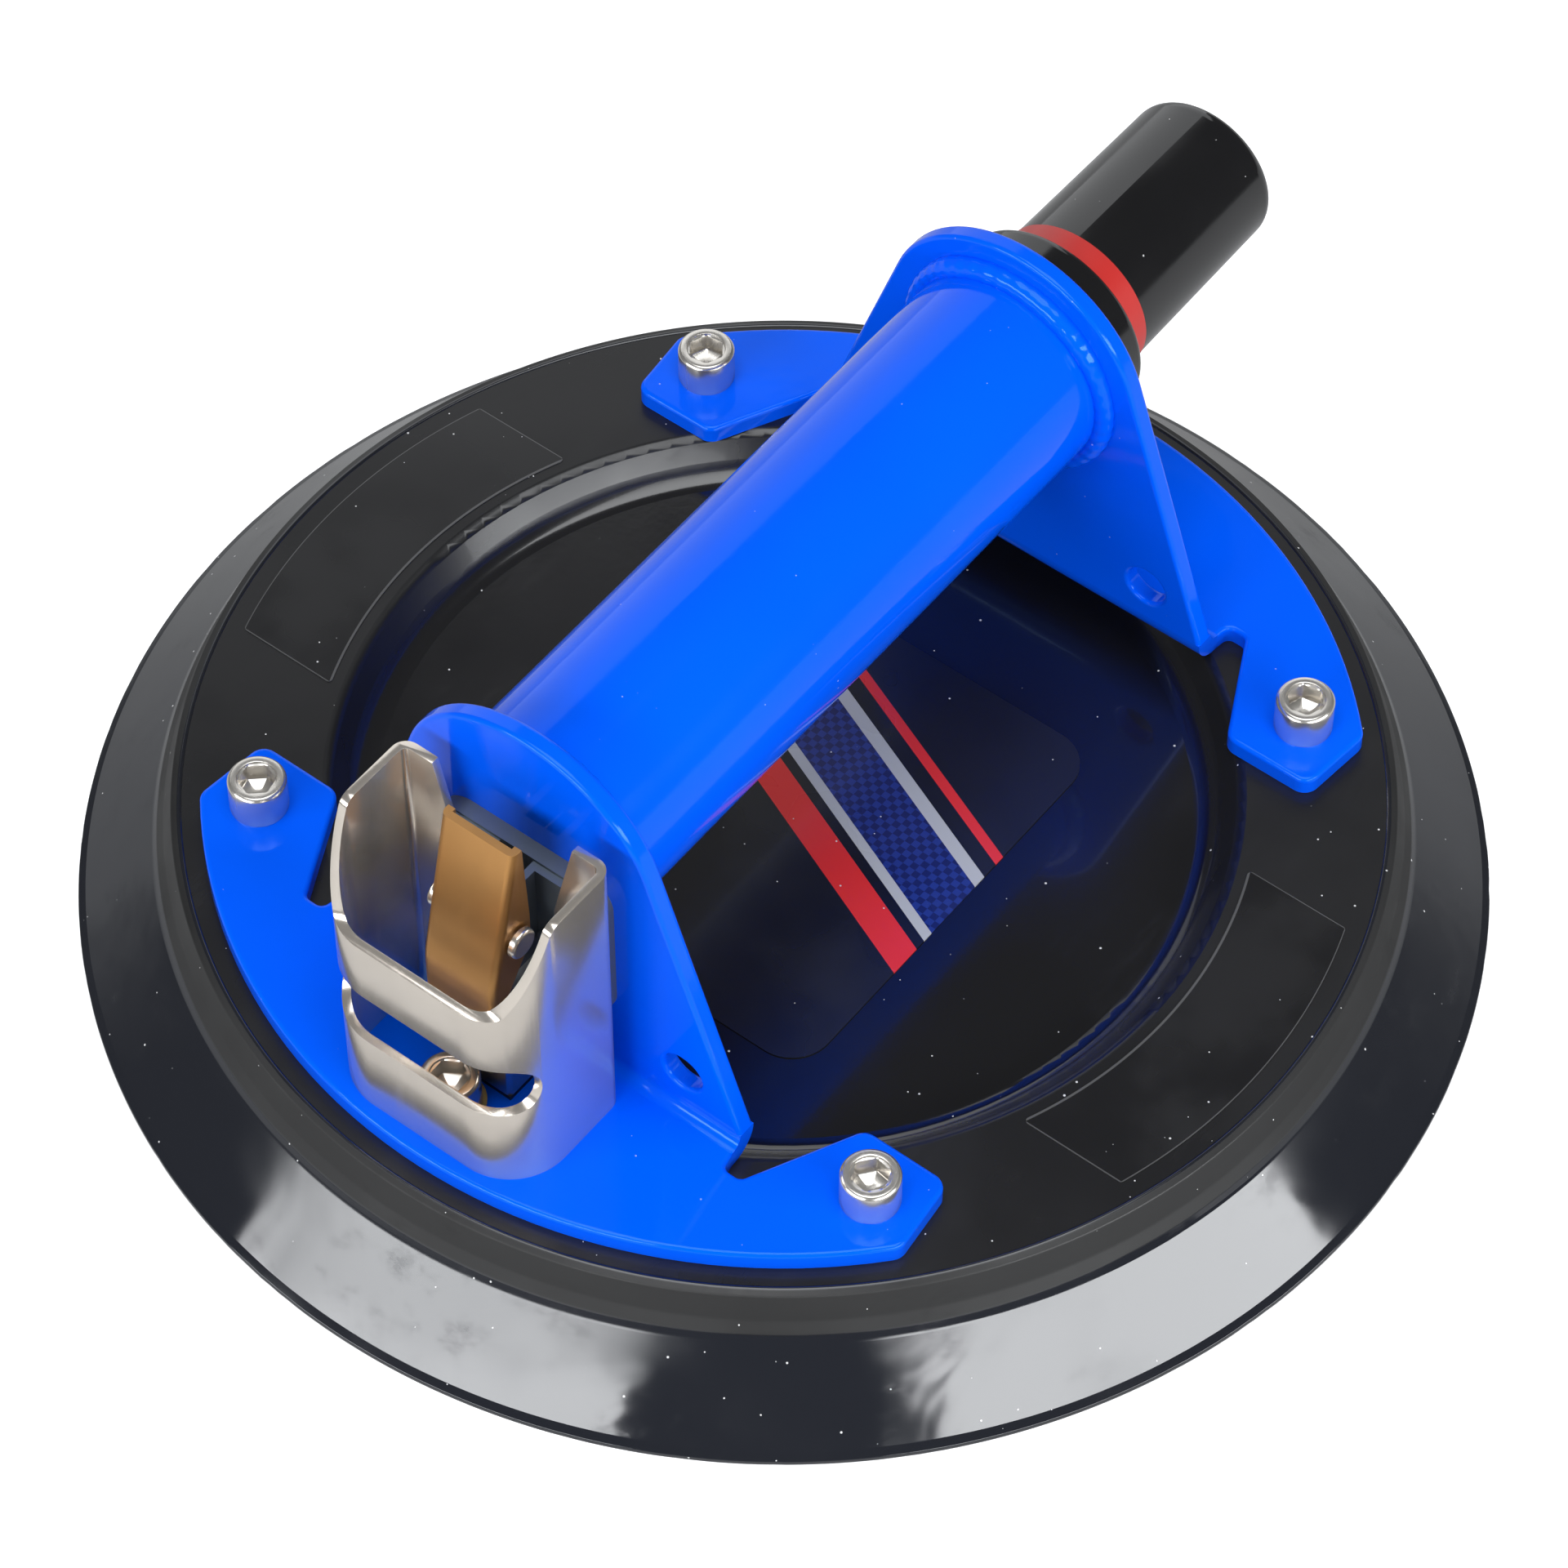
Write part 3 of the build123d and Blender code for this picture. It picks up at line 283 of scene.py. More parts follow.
def powder_coat(name, base, dust):
    """Glossy powder coat with a faint orange peel and specks of dust."""
    made, tree, surface = new_material(
        name, specular_ior_level=0.3, specular_tint=(0.3, 0.7, 1.0), coat_weight=0.05, coat_roughness=0.05
    )
    tint = mix(tree, effect(tree, "patches", scale=22.0), tuple(c * 0.93 for c in base), base)
    specks = effect(tree, "dust", scale=430.0, amount=0.3, size=0.06)
    dusty = tuple(c + (d - c) * 0.45 for c, d in zip(base, dust))
    feed(tree, surface, "Base Color", mix(tree, specks, tint, dusty))
    feed(tree, surface, "Roughness", ramp(tree, effect(tree, "patches", scale=45.0), 0.0, 1.0, 0.07, 0.13))
    peel = place(tree, "ShaderNodeTexNoise", {"Vector": spot_on(tree), "Scale": 260.0, "Detail": 2.0})
    bump(tree, surface, peel.outputs["Fac"], 0.06 * mm, 0.35)
    return made


def plate_coat(colours):
    """Black coat, glossy in the dish and satin on the rim, with dust and wiping marks."""
    made, tree, surface = new_material("black_plate", coat_roughness=0.05)
    radius = effect(tree, "radius")
    wall_foot, wall_top = 61.0, 65.0
    rim = ramp(tree, radius, wall_foot, wall_top)
    specks = effect(tree, "dust", size=0.07)
    feed(tree, surface, "Base Color", mix(tree, specks, colours.black, colours.dust))
    wipe = effect(tree, "hairlines", scale=160.0, along_x=0.25, along_y=1.0, along_z=1.0)
    patch = ramp(tree, effect(tree, "patches", scale=28.0), 0.0, 1.0, 0.0, 0.08)
    even = ramp(tree, rim, 0.0, 1.0, 0.1, 0.25)
    rough = maths(tree, "ADD", maths(tree, "ADD", even, patch), maths(tree, "MULTIPLY", wipe, 0.07))
    feed(tree, surface, "Roughness", rough)
    feed(tree, surface, "Coat Weight", ramp(tree, rim, 0.0, 1.0, 0.5, 0.1))
    grain = place(tree, "ShaderNodeTexNoise", {"Vector": spot_on(tree), "Scale": 900.0, "Detail": 2.0})
    bump(tree, surface, grain.outputs["Fac"], 0.02 * mm, 0.3)
    return made


def pad_rubber(colours):
    """Moulded rubber: a polished flange, a matte slope up to the bead and specks of dust."""
    made, tree, surface = new_material("pad_rubber", specular_ior_level=0.65)
    radius = effect(tree, "radius")
    slope_foot = ramp(tree, radius, 92.5, 92.2)
    slope_top = ramp(tree, radius, 88.7, 89.0)
    matte = maths(tree, "MULTIPLY", slope_foot, slope_top)
    bare = mix(tree, matte, colours.rubber, colours.bead)
    specks = effect(tree, "dust")
    feed(tree, surface, "Base Color", mix(tree, specks, bare, colours.dust))
    patch = effect(tree, "patches", scale=26.0)
    shine = ramp(tree, patch, 0.0, 1.0, 0.04, 0.2)
    dull = ramp(tree, patch, 0.0, 1.0, 0.4, 0.5)
    hairlines = effect(tree, "hairlines", scale=230.0, along_x=0.5, along_y=0.5, along_z=1.0)
    marks = maths(tree, "MULTIPLY", hairlines, 0.1)
    rough = maths(tree, "ADD", maths(tree, "MULTIPLY", matte, dull), maths(tree, "ADD", shine, marks))
    feed(tree, surface, "Roughness", rough)
    flow = place(
        tree,
        "ShaderNodeTexNoise",
        {"Vector": spot_on(tree), "Scale": 34.0, "Detail": 3.0, "Distortion": 0.6},
    )
    bump(tree, surface, flow.outputs["Fac"], 0.25 * mm, 0.55)
    return made


def bare_metal(name, base, rough, spread, stretch=(1.0, 1.0, 0.05), scale=350.0, peel=0.015, metallic=1.0):
    """Bare or plated metal with hairlines along one axis and uneven gloss."""
    made, tree, surface = new_material(name, metallic=metallic)
    lines = effect(tree, "hairlines", scale=scale, along_x=stretch[0], along_y=stretch[1], along_z=stretch[2])
    stain = effect(tree, "patches", scale=70.0, detail=4.0)
    dark = tuple(c * 0.8 for c in base)
    feed(tree, surface, "Base Color", mix(tree, maths(tree, "MULTIPLY", stain, 0.5), base, dark))
    uneven = maths(tree, "MULTIPLY", maths(tree, "ADD", lines, stain), spread / 2)
    feed(tree, surface, "Roughness", maths(tree, "ADD", uneven, rough))
    bump(tree, surface, lines, peel * mm, 0.5)
    return made


def moulded(name, base, rough, dust, specks=0.05, grain=0.01, shine=0.55):
    """Moulded plastic or rubber with faint grain and dust."""
    made, tree, surface = new_material(name, specular_ior_level=shine)
    dots = effect(tree, "dust", amount=specks)
    feed(tree, surface, "Base Color", mix(tree, dots, base, dust))
    patch = ramp(tree, effect(tree, "patches", scale=40.0), 0.0, 1.0, rough, rough + 0.1)
    feed(tree, surface, "Roughness", patch)
    skin = place(tree, "ShaderNodeTexNoise", {"Vector": spot_on(tree), "Scale": 1200.0, "Detail": 2.0})
    bump(tree, surface, skin.outputs["Fac"], grain * mm, 0.4)
    return made


def felt(name, base):
    """Pressed felt with short fibres."""
    made, tree, surface = new_material(name, roughness=0.95, sheen_weight=0.3)
    fibres = place(tree, "ShaderNodeTexNoise", {"Vector": spot_on(tree), "Scale": 2200.0, "Detail": 6.0})
    feed(tree, surface, "Base Color", mix(tree, fibres.outputs["Fac"], tuple(c * 0.7 for c in base), base))
    bump(tree, surface, fibres.outputs["Fac"], 0.15 * mm)
    return made


def between(tree, value, low, high):
    """1 where a value lies between two limits, else 0."""
    return maths(
        tree, "MULTIPLY", maths(tree, "GREATER_THAN", value, low), maths(tree, "LESS_THAN", value, high)
    )


def label_print(colours):
    """Black film with slanting stripes and a fine check in the widest one."""
    made, tree, surface = new_material("label_print", coat_weight=0.4, coat_roughness=0.08)
    parts = place(tree, "ShaderNodeSeparateXYZ", {0: spot_on(tree)})
    along = maths(tree, "MULTIPLY", parts.outputs[0], 1 / mm)
    side = maths(tree, "MULTIPLY", parts.outputs[1], 1 / mm)
    slant = maths(tree, "SUBTRACT", along, maths(tree, "MULTIPLY", side, 0.42))
    blues = {"Color1": tuple(colours.stripe_blue), "Color2": screen(18, 28, 84)}
    check = place(tree, "ShaderNodeTexChecker", {"Vector": spot_on(tree), "Scale": 900.0, **blues})
    shade = colours.black
    for low, high, paint in (
        (-2.0, 3.4, colours.stripe_red),
        (5.2, 7.0, colours.stripe_grey),
        (7.0, 17.5, check.outputs[0]),
        (17.5, 19.8, colours.stripe_grey),
        (22.6, 24.4, colours.stripe_red),
    ):
        shade = mix(tree, between(tree, slant, low, high), shade, paint)
    specks = effect(tree, "dust", amount=0.4)
    feed(tree, surface, "Base Color", mix(tree, specks, shade, colours.dust))
    feed(tree, surface, "Roughness", ramp(tree, effect(tree, "patches", scale=35.0), 0.0, 1.0, 0.22, 0.34))
    return made


def rim_film_print(colours):
    """Plain dark film with a thin pale edge."""
    made, tree, surface = new_material("rim_film", coat_weight=0.3, coat_roughness=0.1)
    radius = effect(tree, "radius")
    parts = place(tree, "ShaderNodeSeparateXYZ", {0: spot_on(tree)})
    along = maths(tree, "MULTIPLY", maths(tree, "ABSOLUTE", parts.outputs[0]), 1 / mm)
    inner, outer, half_length = 69.75, 85.15, 27.45
    edge = maths(tree, "SUBTRACT", 1.0, between(tree, radius, inner, outer))
    end = maths(tree, "GREATER_THAN", along, half_length)
    pale = maths(tree, "MULTIPLY", maths(tree, "MAXIMUM", edge, end), 0.12)
    specks = effect(tree, "dust", size=0.07)
    shade = mix(tree, pale, colours.black, colours.dust)
    feed(tree, surface, "Base Color", mix(tree, specks, shade, colours.dust))
    feed(tree, surface, "Roughness", ramp(tree, effect(tree, "patches", scale=50.0), 0.0, 1.0, 0.2, 0.32))
    return made


materials = {}


def dress(names, finish):
    """Gives CAD nodes one of the finishes."""
    for name in names:
        target = nodes[name].data
        target.materials.clear()
        target.materials.append(materials[finish])


def ride_as(piece, body, slot, *replaced):
    """Puts a piece on its body in place of CAD nodes. The slot argument is not used."""
    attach(piece, body)
    if replaced:
        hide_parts(*replaced)
    return piece


# Geometry Nodes


def new_geometry_tree(name, inputs):
    """A Geometry Nodes tree with named inputs, given as name: (socket type, default)."""
    tree = bpy.data.node_groups.new(name, "GeometryNodeTree")
    tree.interface.new_socket("Geometry", in_out="INPUT", socket_type="NodeSocketGeometry")
    tree.interface.new_socket("Geometry", in_out="OUTPUT", socket_type="NodeSocketGeometry")
    for label, (kind, value) in inputs.items():
        made = tree.interface.new_socket(label, in_out="INPUT", socket_type="NodeSocket" + kind)
        if value is not None:
            made.default_value = value
    return tree, tree.nodes.new("NodeGroupInput"), tree.nodes.new("NodeGroupOutput")


def close_tree(tree, start, end, geometry):
    """Ends a tree in Realize Instances and Set Material."""
    real = place(tree, "GeometryNodeRealizeInstances", {"Geometry": geometry})
    smooth = place(tree, "GeometryNodeSetShadeSmooth", {"Geometry": real.outputs[0], "Shade Smooth": True})
    finished = {"Geometry": smooth.outputs[0], "Material": start.outputs["Material"]}
    coat = place(tree, "GeometryNodeSetMaterial", finished)
    tree.links.new(coat.outputs[0], end.inputs[0])


def grow(name, tree, values, mesh=None):
    """Runs a tree on a mesh and returns its result as a plain object."""
    seed = add_object(name + "_seed", mesh or bpy.data.meshes.new(name + "_seed"))
    modifier = seed.modifiers.new("shape", "NODES")
    modifier.node_group = tree
    for item in tree.interface.items_tree:
        if item.item_type == "SOCKET" and item.in_out == "INPUT" and item.name in values:
            modifier[item.identifier] = values[item.name]
    bpy.context.view_layer.update()
    evaluated = seed.evaluated_get(bpy.context.evaluated_depsgraph_get())
    plain = bpy.data.meshes.new_from_object(evaluated)
    plain.name = name
    bpy.data.objects.remove(seed)
    return add_object(name, plain)


def tidy_mesh(made, merge=0.002 * mm, sharp=math.radians(35)):
    """Merges doubles, turns faces outwards and marks hard edges sharp."""
    shape = bmesh.new()
    shape.from_mesh(made.data)
    bmesh.ops.remove_doubles(shape, verts=shape.verts, dist=merge)
    bmesh.ops.recalc_face_normals(shape, faces=shape.faces)
    for edge in shape.edges:
        edge.smooth = not (edge.is_manifold and edge.calc_face_angle(0) > sharp)
    shape.to_mesh(made.data)
    shape.free()
    made.data.update()


def weld_tree():
    """A rounded bead that follows a circle round the grip, rippled and uneven."""
    tree, start, end = new_geometry_tree(
        "weld_bead",
        {
            "Ring radius": ("Float", 17.4 * mm),
            "Bead radius": ("Float", 1.6 * mm),
            "Place": ("Float", 0.05),
            "Height": ("Float", 0.06),
            "Waves": ("Int", 44),
            "Seed": ("Float", 1.0),
            "Material": ("Material", None),
        },
    )
    ring = place(
        tree, "GeometryNodeCurvePrimitiveCircle", {"Resolution": 300, "Radius": start.outputs["Ring radius"]}
    )
    section = place(
        tree, "GeometryNodeCurvePrimitiveCircle", {"Resolution": 16, "Radius": start.outputs["Bead radius"]}
    )
    curves = {"Curve": ring.outputs[0], "Profile Curve": section.outputs[0]}
    bead = place(tree, "GeometryNodeCurveToMesh", curves)
    spot = place(tree, "GeometryNodeInputPosition").outputs[0]
    parts = place(tree, "ShaderNodeSeparateXYZ", {0: spot})
    angle = maths(tree, "ARCTAN2", parts.outputs[1], parts.outputs[0])
    wander = place(
        tree,
        "ShaderNodeTexNoise",
        {"Vector": spot, "W": start.outputs["Seed"], "Scale": 160.0, "Detail": 1.0},
        noise_dimensions="4D",
    )
    slow = place(
        tree,
        "ShaderNodeTexNoise",
        {"Vector": spot, "W": start.outputs["Seed"], "Scale": 45.0, "Detail": 1.0},
        noise_dimensions="4D",
    )
    beat = maths(
        tree,
        "ADD",
        maths(tree, "MULTIPLY", angle, start.outputs["Waves"]),
        maths(tree, "MULTIPLY", slow.outputs["Fac"], 9.0),
    )
    scale_ripple = maths(tree, "MULTIPLY", maths(tree, "SINE", beat), 0.025)
    scale_noise = maths(tree, "MULTIPLY", maths(tree, "SUBTRACT", wander.outputs["Fac"], 0.5), 0.1)
    scale_slow = maths(tree, "MULTIPLY", maths(tree, "SUBTRACT", slow.outputs["Fac"], 0.5), 0.8)
    swell = maths(tree, "ADD", scale_ripple, maths(tree, "ADD", scale_noise, scale_slow))
    amount = maths(tree, "MULTIPLY", swell, start.outputs["Bead radius"])
    normal = place(tree, "GeometryNodeInputNormal").outputs[0]
    push = place(tree, "ShaderNodeVectorMath", {0: normal, "Scale": amount}, operation="SCALE")
    rough = place(tree, "GeometryNodeSetPosition", {"Geometry": bead.outputs[0], "Offset": push.outputs[0]})
    turned = place(
        tree,
        "GeometryNodeTransform",
        {
            "Geometry": rough.outputs[0],
            "Rotation": Euler((0, math.pi / 2, 0)),
            "Translation": place(
                tree, "ShaderNodeCombineXYZ", {"X": start.outputs["Place"], "Z": start.outputs["Height"]}
            ).outputs[0],
        },
    )
    close_tree(tree, start, end, turned.outputs[0])
    return tree


def screws_tree():
    """Sets one screw at each corner of a rectangle, each turned its own way."""
    tree, start, end = new_geometry_tree(
        "screw_rows",
        {
            "Reach X": ("Float", 0.05),
            "Reach Y": ("Float", 0.05),
            "Seat": ("Float", 0.02),
            "Seed": ("Int", 3),
            "Material": ("Material", None),
        },
    )
    rows = []
    for sign in (-1, 1):
        corner = place(
            tree,
            "ShaderNodeCombineXYZ",
            {
                "X": maths(tree, "MULTIPLY", start.outputs["Reach X"], -1.0),
                "Y": maths(tree, "MULTIPLY", start.outputs["Reach Y"], float(sign)),
                "Z": start.outputs["Seat"],
            },
        )
        step = place(
            tree, "ShaderNodeCombineXYZ", {"X": maths(tree, "MULTIPLY", start.outputs["Reach X"], 2.0)}
        )
        rows.append(
            place(
                tree,
                "GeometryNodeMeshLine",
                {"Count": 2, "Start Location": corner.outputs[0], "Offset": step.outputs[0]},
            )
        )
    joined = place(tree, "GeometryNodeJoinGeometry")
    for row in rows:
        tree.links.new(row.outputs[0], joined.inputs[0])
    spots = place(tree, "GeometryNodeMergeByDistance", {"Geometry": joined.outputs[0], "Distance": 0.1 * mm})
    turn = place(
        tree,
        "FunctionNodeRandomValue",
        {2: 0.0, 3: math.pi / 3, "Seed": start.outputs["Seed"]},
        data_type="FLOAT",
    )
    spin = place(tree, "ShaderNodeCombineXYZ", {"Z": turn.outputs[1]})
    set_out = place(
        tree,
        "GeometryNodeInstanceOnPoints",
        {"Points": spots.outputs[0], "Instance": start.outputs["Geometry"], "Rotation": spin.outputs[0]},
    )
    close_tree(tree, start, end, set_out.outputs[0])
    return tree


def screw_mesh(sizes, shank_length):
    """One socket screw standing on its seat: shank, head with rounded rims and hexagon socket."""
    around = 96
    head = sizes.screw_head
    shank = 2.4 * mm
    top = head_height
    floor = top - sizes.socket_depth
    apothem = sizes.socket_flats / 2

    def circle(radius, height):
        return [
            (radius * math.cos(a), radius * math.sin(a), height)
            for a in (2 * math.pi * k / around for k in range(around))
        ]

    def hexagon(height, scale=1.0, corner=0.985):
        points = []
        for k in range(around):
            a = 2 * math.pi * k / around
            bend = (a + math.pi / 6) % (math.pi / 3) - math.pi / 6
            radius = min(apothem / math.cos(bend), apothem / math.cos(math.pi / 6) * corner) * scale
            points.append((radius * math.cos(a), radius * math.sin(a), height))
        return points

    rings = [
        circle(shank, -shank_length),
        circle(shank, 0.0),
        circle(head - 0.12 * mm, 0.0),
        circle(head - 0.03 * mm, 0.03 * mm),
        circle(head, 0.12 * mm),
        circle(head, top - 0.52 * mm),
        circle(head - 0.03 * mm, top - 0.42 * mm),
        circle(head - 0.42 * mm, top - 0.03 * mm),
        circle(head - 0.52 * mm, top),
        circle(3.1 * mm, top),
        circle(3.0 * mm, top - 0.03 * mm),
        circle(2.86 * mm, top - 0.3 * mm),
        hexagon(top - 0.36 * mm),
        hexagon(top - 0.6 * mm),
        hexagon(floor + 0.1 * mm),
        hexagon(floor, 0.96),
        hexagon(floor - 0.5 * mm, 0.3),
    ]
    shape = bmesh.new()
    loops = [[shape.verts.new(p) for p in ring] for ring in rings]
    for low, high in zip(loops, loops[1:]):
        for k in range(around):
            after = (k + 1) % around
            shape.faces.new((low[k], low[after], high[after], high[k]))
    shape.faces.new(list(reversed(loops[0])))
    shape.faces.new(loops[-1])
    bmesh.ops.recalc_face_normals(shape, faces=shape.faces)
    made = bpy.data.meshes.new("screw_form")
    shape.to_mesh(made)
    shape.free()
    return made


def pad_tree():
    """Turns the pad's section about its axis and lets the trimmed lip stray a little inwards."""
    tree, start, end = new_geometry_tree(
        "turned_pad",
        {"Path radius": ("Float", 0.05), "Waver": ("Float", 0.0002), "Material": ("Material", None)},
    )
    section = place(tree, "GeometryNodeMeshToCurve", {"Mesh": start.outputs["Geometry"]})
    corner = place(tree, "GeometryNodeInputNamedAttribute", {"Name": "corner"}, data_type="FLOAT")
    rounded = place(
        tree,
        "GeometryNodeFilletCurve",
        {"Curve": section.outputs[0], "Radius": corner.outputs[0], "Limit Radius": True, "Count": 6},
        mode="POLY",
    )
    ring = place(
        tree, "GeometryNodeCurvePrimitiveCircle", {"Resolution": 360, "Radius": start.outputs["Path radius"]}
    )
    curves = {"Curve": ring.outputs[0], "Profile Curve": rounded.outputs[0]}
    turned = place(tree, "GeometryNodeCurveToMesh", curves)
    spot = place(tree, "GeometryNodeInputPosition").outputs[0]
    parts = place(tree, "ShaderNodeSeparateXYZ", {0: spot})
    flat = place(tree, "ShaderNodeCombineXYZ", {"X": parts.outputs[0], "Y": parts.outputs[1]})
    reach = place(tree, "ShaderNodeVectorMath", {0: flat.outputs[0]}, operation="LENGTH").outputs["Value"]
    lip = place(
        tree,
        "ShaderNodeMapRange",
        {"Value": reach, "From Min": 103.6 * mm, "From Max": 104.9 * mm, "To Min": 0.0, "To Max": -1.0},
    ).outputs[0]
    cut = place(
        tree,
        "ShaderNodeTexNoise",
        {"Vector": flat.outputs[0], "Scale": 120.0, "Detail": 5.0, "Roughness": 0.7},
    )
    nick = place(
        tree,
        "ShaderNodeMapRange",
        {"Value": cut.outputs["Fac"], "From Min": 0.52, "From Max": 0.8, "To Min": 0.0, "To Max": 1.0},
    ).outputs[0]
    amount = maths(tree, "MULTIPLY", maths(tree, "MULTIPLY", nick, lip), start.outputs["Waver"])
    outward = place(tree, "ShaderNodeVectorMath", {0: flat.outputs[0]}, operation="NORMALIZE")
    push = place(tree, "ShaderNodeVectorMath", {0: outward.outputs[0], "Scale": amount}, operation="SCALE")
    moved = {"Geometry": turned.outputs[0], "Offset": push.outputs[0]}
    strayed = place(tree, "GeometryNodeSetPosition", moved)
    close_tree(tree, start, end, strayed.outputs[0])
    return tree


pad_section = (
    # radius, height, corner radius, in millimetres
    (0.02, 3.0, 0.0),
    (95.0, 3.0, 1.0),
    (98.0, 0.0, 0.6),
    (105.0, 0.0, 0.15),
    (105.0, 0.8, 0.25),
    (103.9, 1.5, 0.9),
    (93.0, 12.4, 3.0),
    (91.2, 15.3, 3.0),
    (89.8, 19.25, 0.5),
    (88.45, 19.75, 0.5),
    (88.2, 19.5, 0.0),
    (88.2, 16.5, 0.0),
    (68.2, 16.5, 0.0),
    (64.2, 11.2, 0.0),
    (0.02, 11.2, 0.0),
)


# Operators


class LifterOperator:
    """What the lifter's operators share: the scene's settings and a plain execute."""

    bl_options = {"REGISTER"}

    def execute(self, context):
        self.make(context.scene.lifter_colours, context.scene.lifter_sizes)
        return {"FINISHED"}


class LIFTER_OT_finishes(LifterOperator, bpy.types.Operator):
    """Make the shared shader groups and the materials"""

    bl_idname = "lifter.finishes"
    bl_label = "Finishes"

    def make(self, colours, sizes):
        groups.update(dust=dust_group(), hairlines=wear_group(), patches=cloud_group(), radius=radius_group())
        dust = colours.dust
        materials.update(
            blue=powder_coat("blue_powder_coat", colours.blue, dust),
            plate=plate_coat(colours),
            pad=pad_rubber(colours),
            nickel=bare_metal("nickel_plate", colours.nickel, 0.2, 0.12, metallic=0.9),
            washer=bare_metal("yellow_plate", screen(196, 172, 120), 0.22, 0.12),
            stainless=bare_metal(
                "stainless_sheet", colours.stainless, 0.17, 0.1, (1.0, 1.0, 0.06), 220.0, metallic=0.88
            ),
            zinc=bare_metal("zinc_plate", colours.zinc, 0.5, 0.12, (1.0, 1.0, 1.0), 500.0, metallic=0.85),
            brass=bare_metal("lever_brass", colours.brass, 0.34, 0.12, scale=420.0, metallic=0.85),
            steel=bare_metal("plain_steel", screen(188, 188, 186), 0.3, 0.16),
            aluminium=bare_metal("plain_aluminium", screen(206, 208, 210), 0.34, 0.14),
            fitting=bare_metal("fitting_brass", screen(222, 190, 120), 0.28, 0.14),
            plastic=moulded("black_plastic", colours.plastic, 0.08, dust, 0.4, shine=0.8),
            inner=moulded("inner_plastic", screen(58, 58, 60), 0.35, dust, 0.0),
            seal=moulded("seal_rubber", screen(34, 34, 34), 0.5, dust, 0.02, 0.03),
            ring=moulded("ring_plastic", colours.ring, 0.3, dust, 0.02),
            felt=felt("filter_felt", screen(214, 212, 204)),
            label=label_print(colours),
            film=rim_film_print(colours),
        )


class LIFTER_OT_plate(LifterOperator, bpy.types.Operator):
    """Finish the backing plate"""

    bl_idname = "lifter.plate"
    bl_label = "Backing plate"

    def make(self, colours, sizes):
        dress(["backing_plate"], "plate")


class LIFTER_OT_pad(LifterOperator, bpy.types.Operator):
    """Turn the rubber pad from its section"""

    bl_idname = "lifter.pad"
    bl_label = "Rubber pad"

    def make(self, colours, sizes):
        path = 50.0
        merge = 0.03 * mm
        outline = bpy.data.meshes.new("pad_section")
        points = [((r - path) * mm, -h * mm, 0) for r, h, corner in pad_section]
        outline.from_pydata(points, [(k, k + 1) for k in range(len(points) - 1)], [])
        corner = outline.attributes.new("corner", "FLOAT", "POINT")
        corner.data.foreach_set("value", [c * mm for r, h, c in pad_section])
        values = {"Path radius": path * mm, "Waver": sizes.lip_waver, "Material": materials["pad"]}
        pad = grow("rubber_pad_turned", pad_tree(), values, outline)
        tidy_mesh(pad, merge)
        ride_as(pad, "base", "pad_rubber", "rubber_pad")


class LIFTER_OT_brackets(LifterOperator, bpy.types.Operator):
    """Finish the brackets and the grip, and run the weld beads round its ends"""

    bl_idname = "lifter.brackets"
    bl_label = "Brackets and grip"

    def make(self, colours, sizes):
        dress(["valve_bracket", "pump_bracket", "grip_tube"], "blue")
        tree = weld_tree()
        low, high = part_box("grip_tube")
        radius = (high.y - low.y) / 2
        inset, rise = 0.5 * mm, 0.55 * mm
        for name, node, place_x, seed in (
            ("valve_end_bead", "valve_end_weld", low.x + inset, 2.0),
            ("pump_end_bead", "pump_end_weld", high.x - inset, 7.0),
        ):
            values = {
                "Ring radius": radius + rise,
                "Bead radius": sizes.bead_width / 2,
                "Place": place_x,
                "Height": (low.z + high.z) / 2,
                "Waves": sizes.bead_waves,
                "Seed": seed,
                "Material": materials["blue"],
            }
            bead = grow(name, tree, values)
            tidy_mesh(bead)
            ride_as(bead, "base", "blue_coat", node)


class LIFTER_OT_screws(LifterOperator, bpy.types.Operator):
    """Set the socket screws, and finish their washers and nuts"""

    bl_idname = "lifter.screws"
    bl_label = "Screws"

    def make(self, colours, sizes):
        tree = screws_tree()
        for name, node, seed in (
            ("pad_socket_screws", "pad_screws", 4),
            ("center_socket_screws", "center_screws", 9),
        ):
            low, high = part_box(node)
            seat = high.z - head_height
            values = {
                "Reach X": high.x - sizes.screw_head,
                "Reach Y": max(high.y - sizes.screw_head, 0.0),
                "Seat": seat,
                "Seed": seed,
                "Material": materials["nickel"],
            }
            screws = grow(name, tree, values, screw_mesh(sizes, seat - low.z))
            tidy_mesh(screws)
            ride_as(screws, "base", "screw_plate", node)
        dress(["center_washers"], "washer")
        dress(["pad_nuts"], "steel")


class LIFTER_OT_pump(LifterOperator, bpy.types.Operator):
    """Finish the pump and its line to the pad, and copy the pump's spring"""

    bl_idname = "lifter.pump"
    bl_label = "Pump"

    def make(self, colours, sizes):
        dress(["plunger_knob", "guide_collar"], "plastic")
        dress(["indicator_ring"], "ring")
        dress(["pump_barrel"], "aluminium")
        dress(["piston", "barrel_plug"], "inner")
        dress(["piston_seal", "plug_seal", "inlet_valve_disc", "vacuum_hose"], "seal")
        dress(["pump_spring", "port_washer"], "steel")
        dress(["vacuum_elbow", "port_nut"], "fitting")
        dress(["port_filter"], "felt")
        spring = add_object("pump_spring_coil", nodes["pump_spring"].data.copy())
        ride_as(spring, "base", "steel", "pump_spring")
        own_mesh(spring)


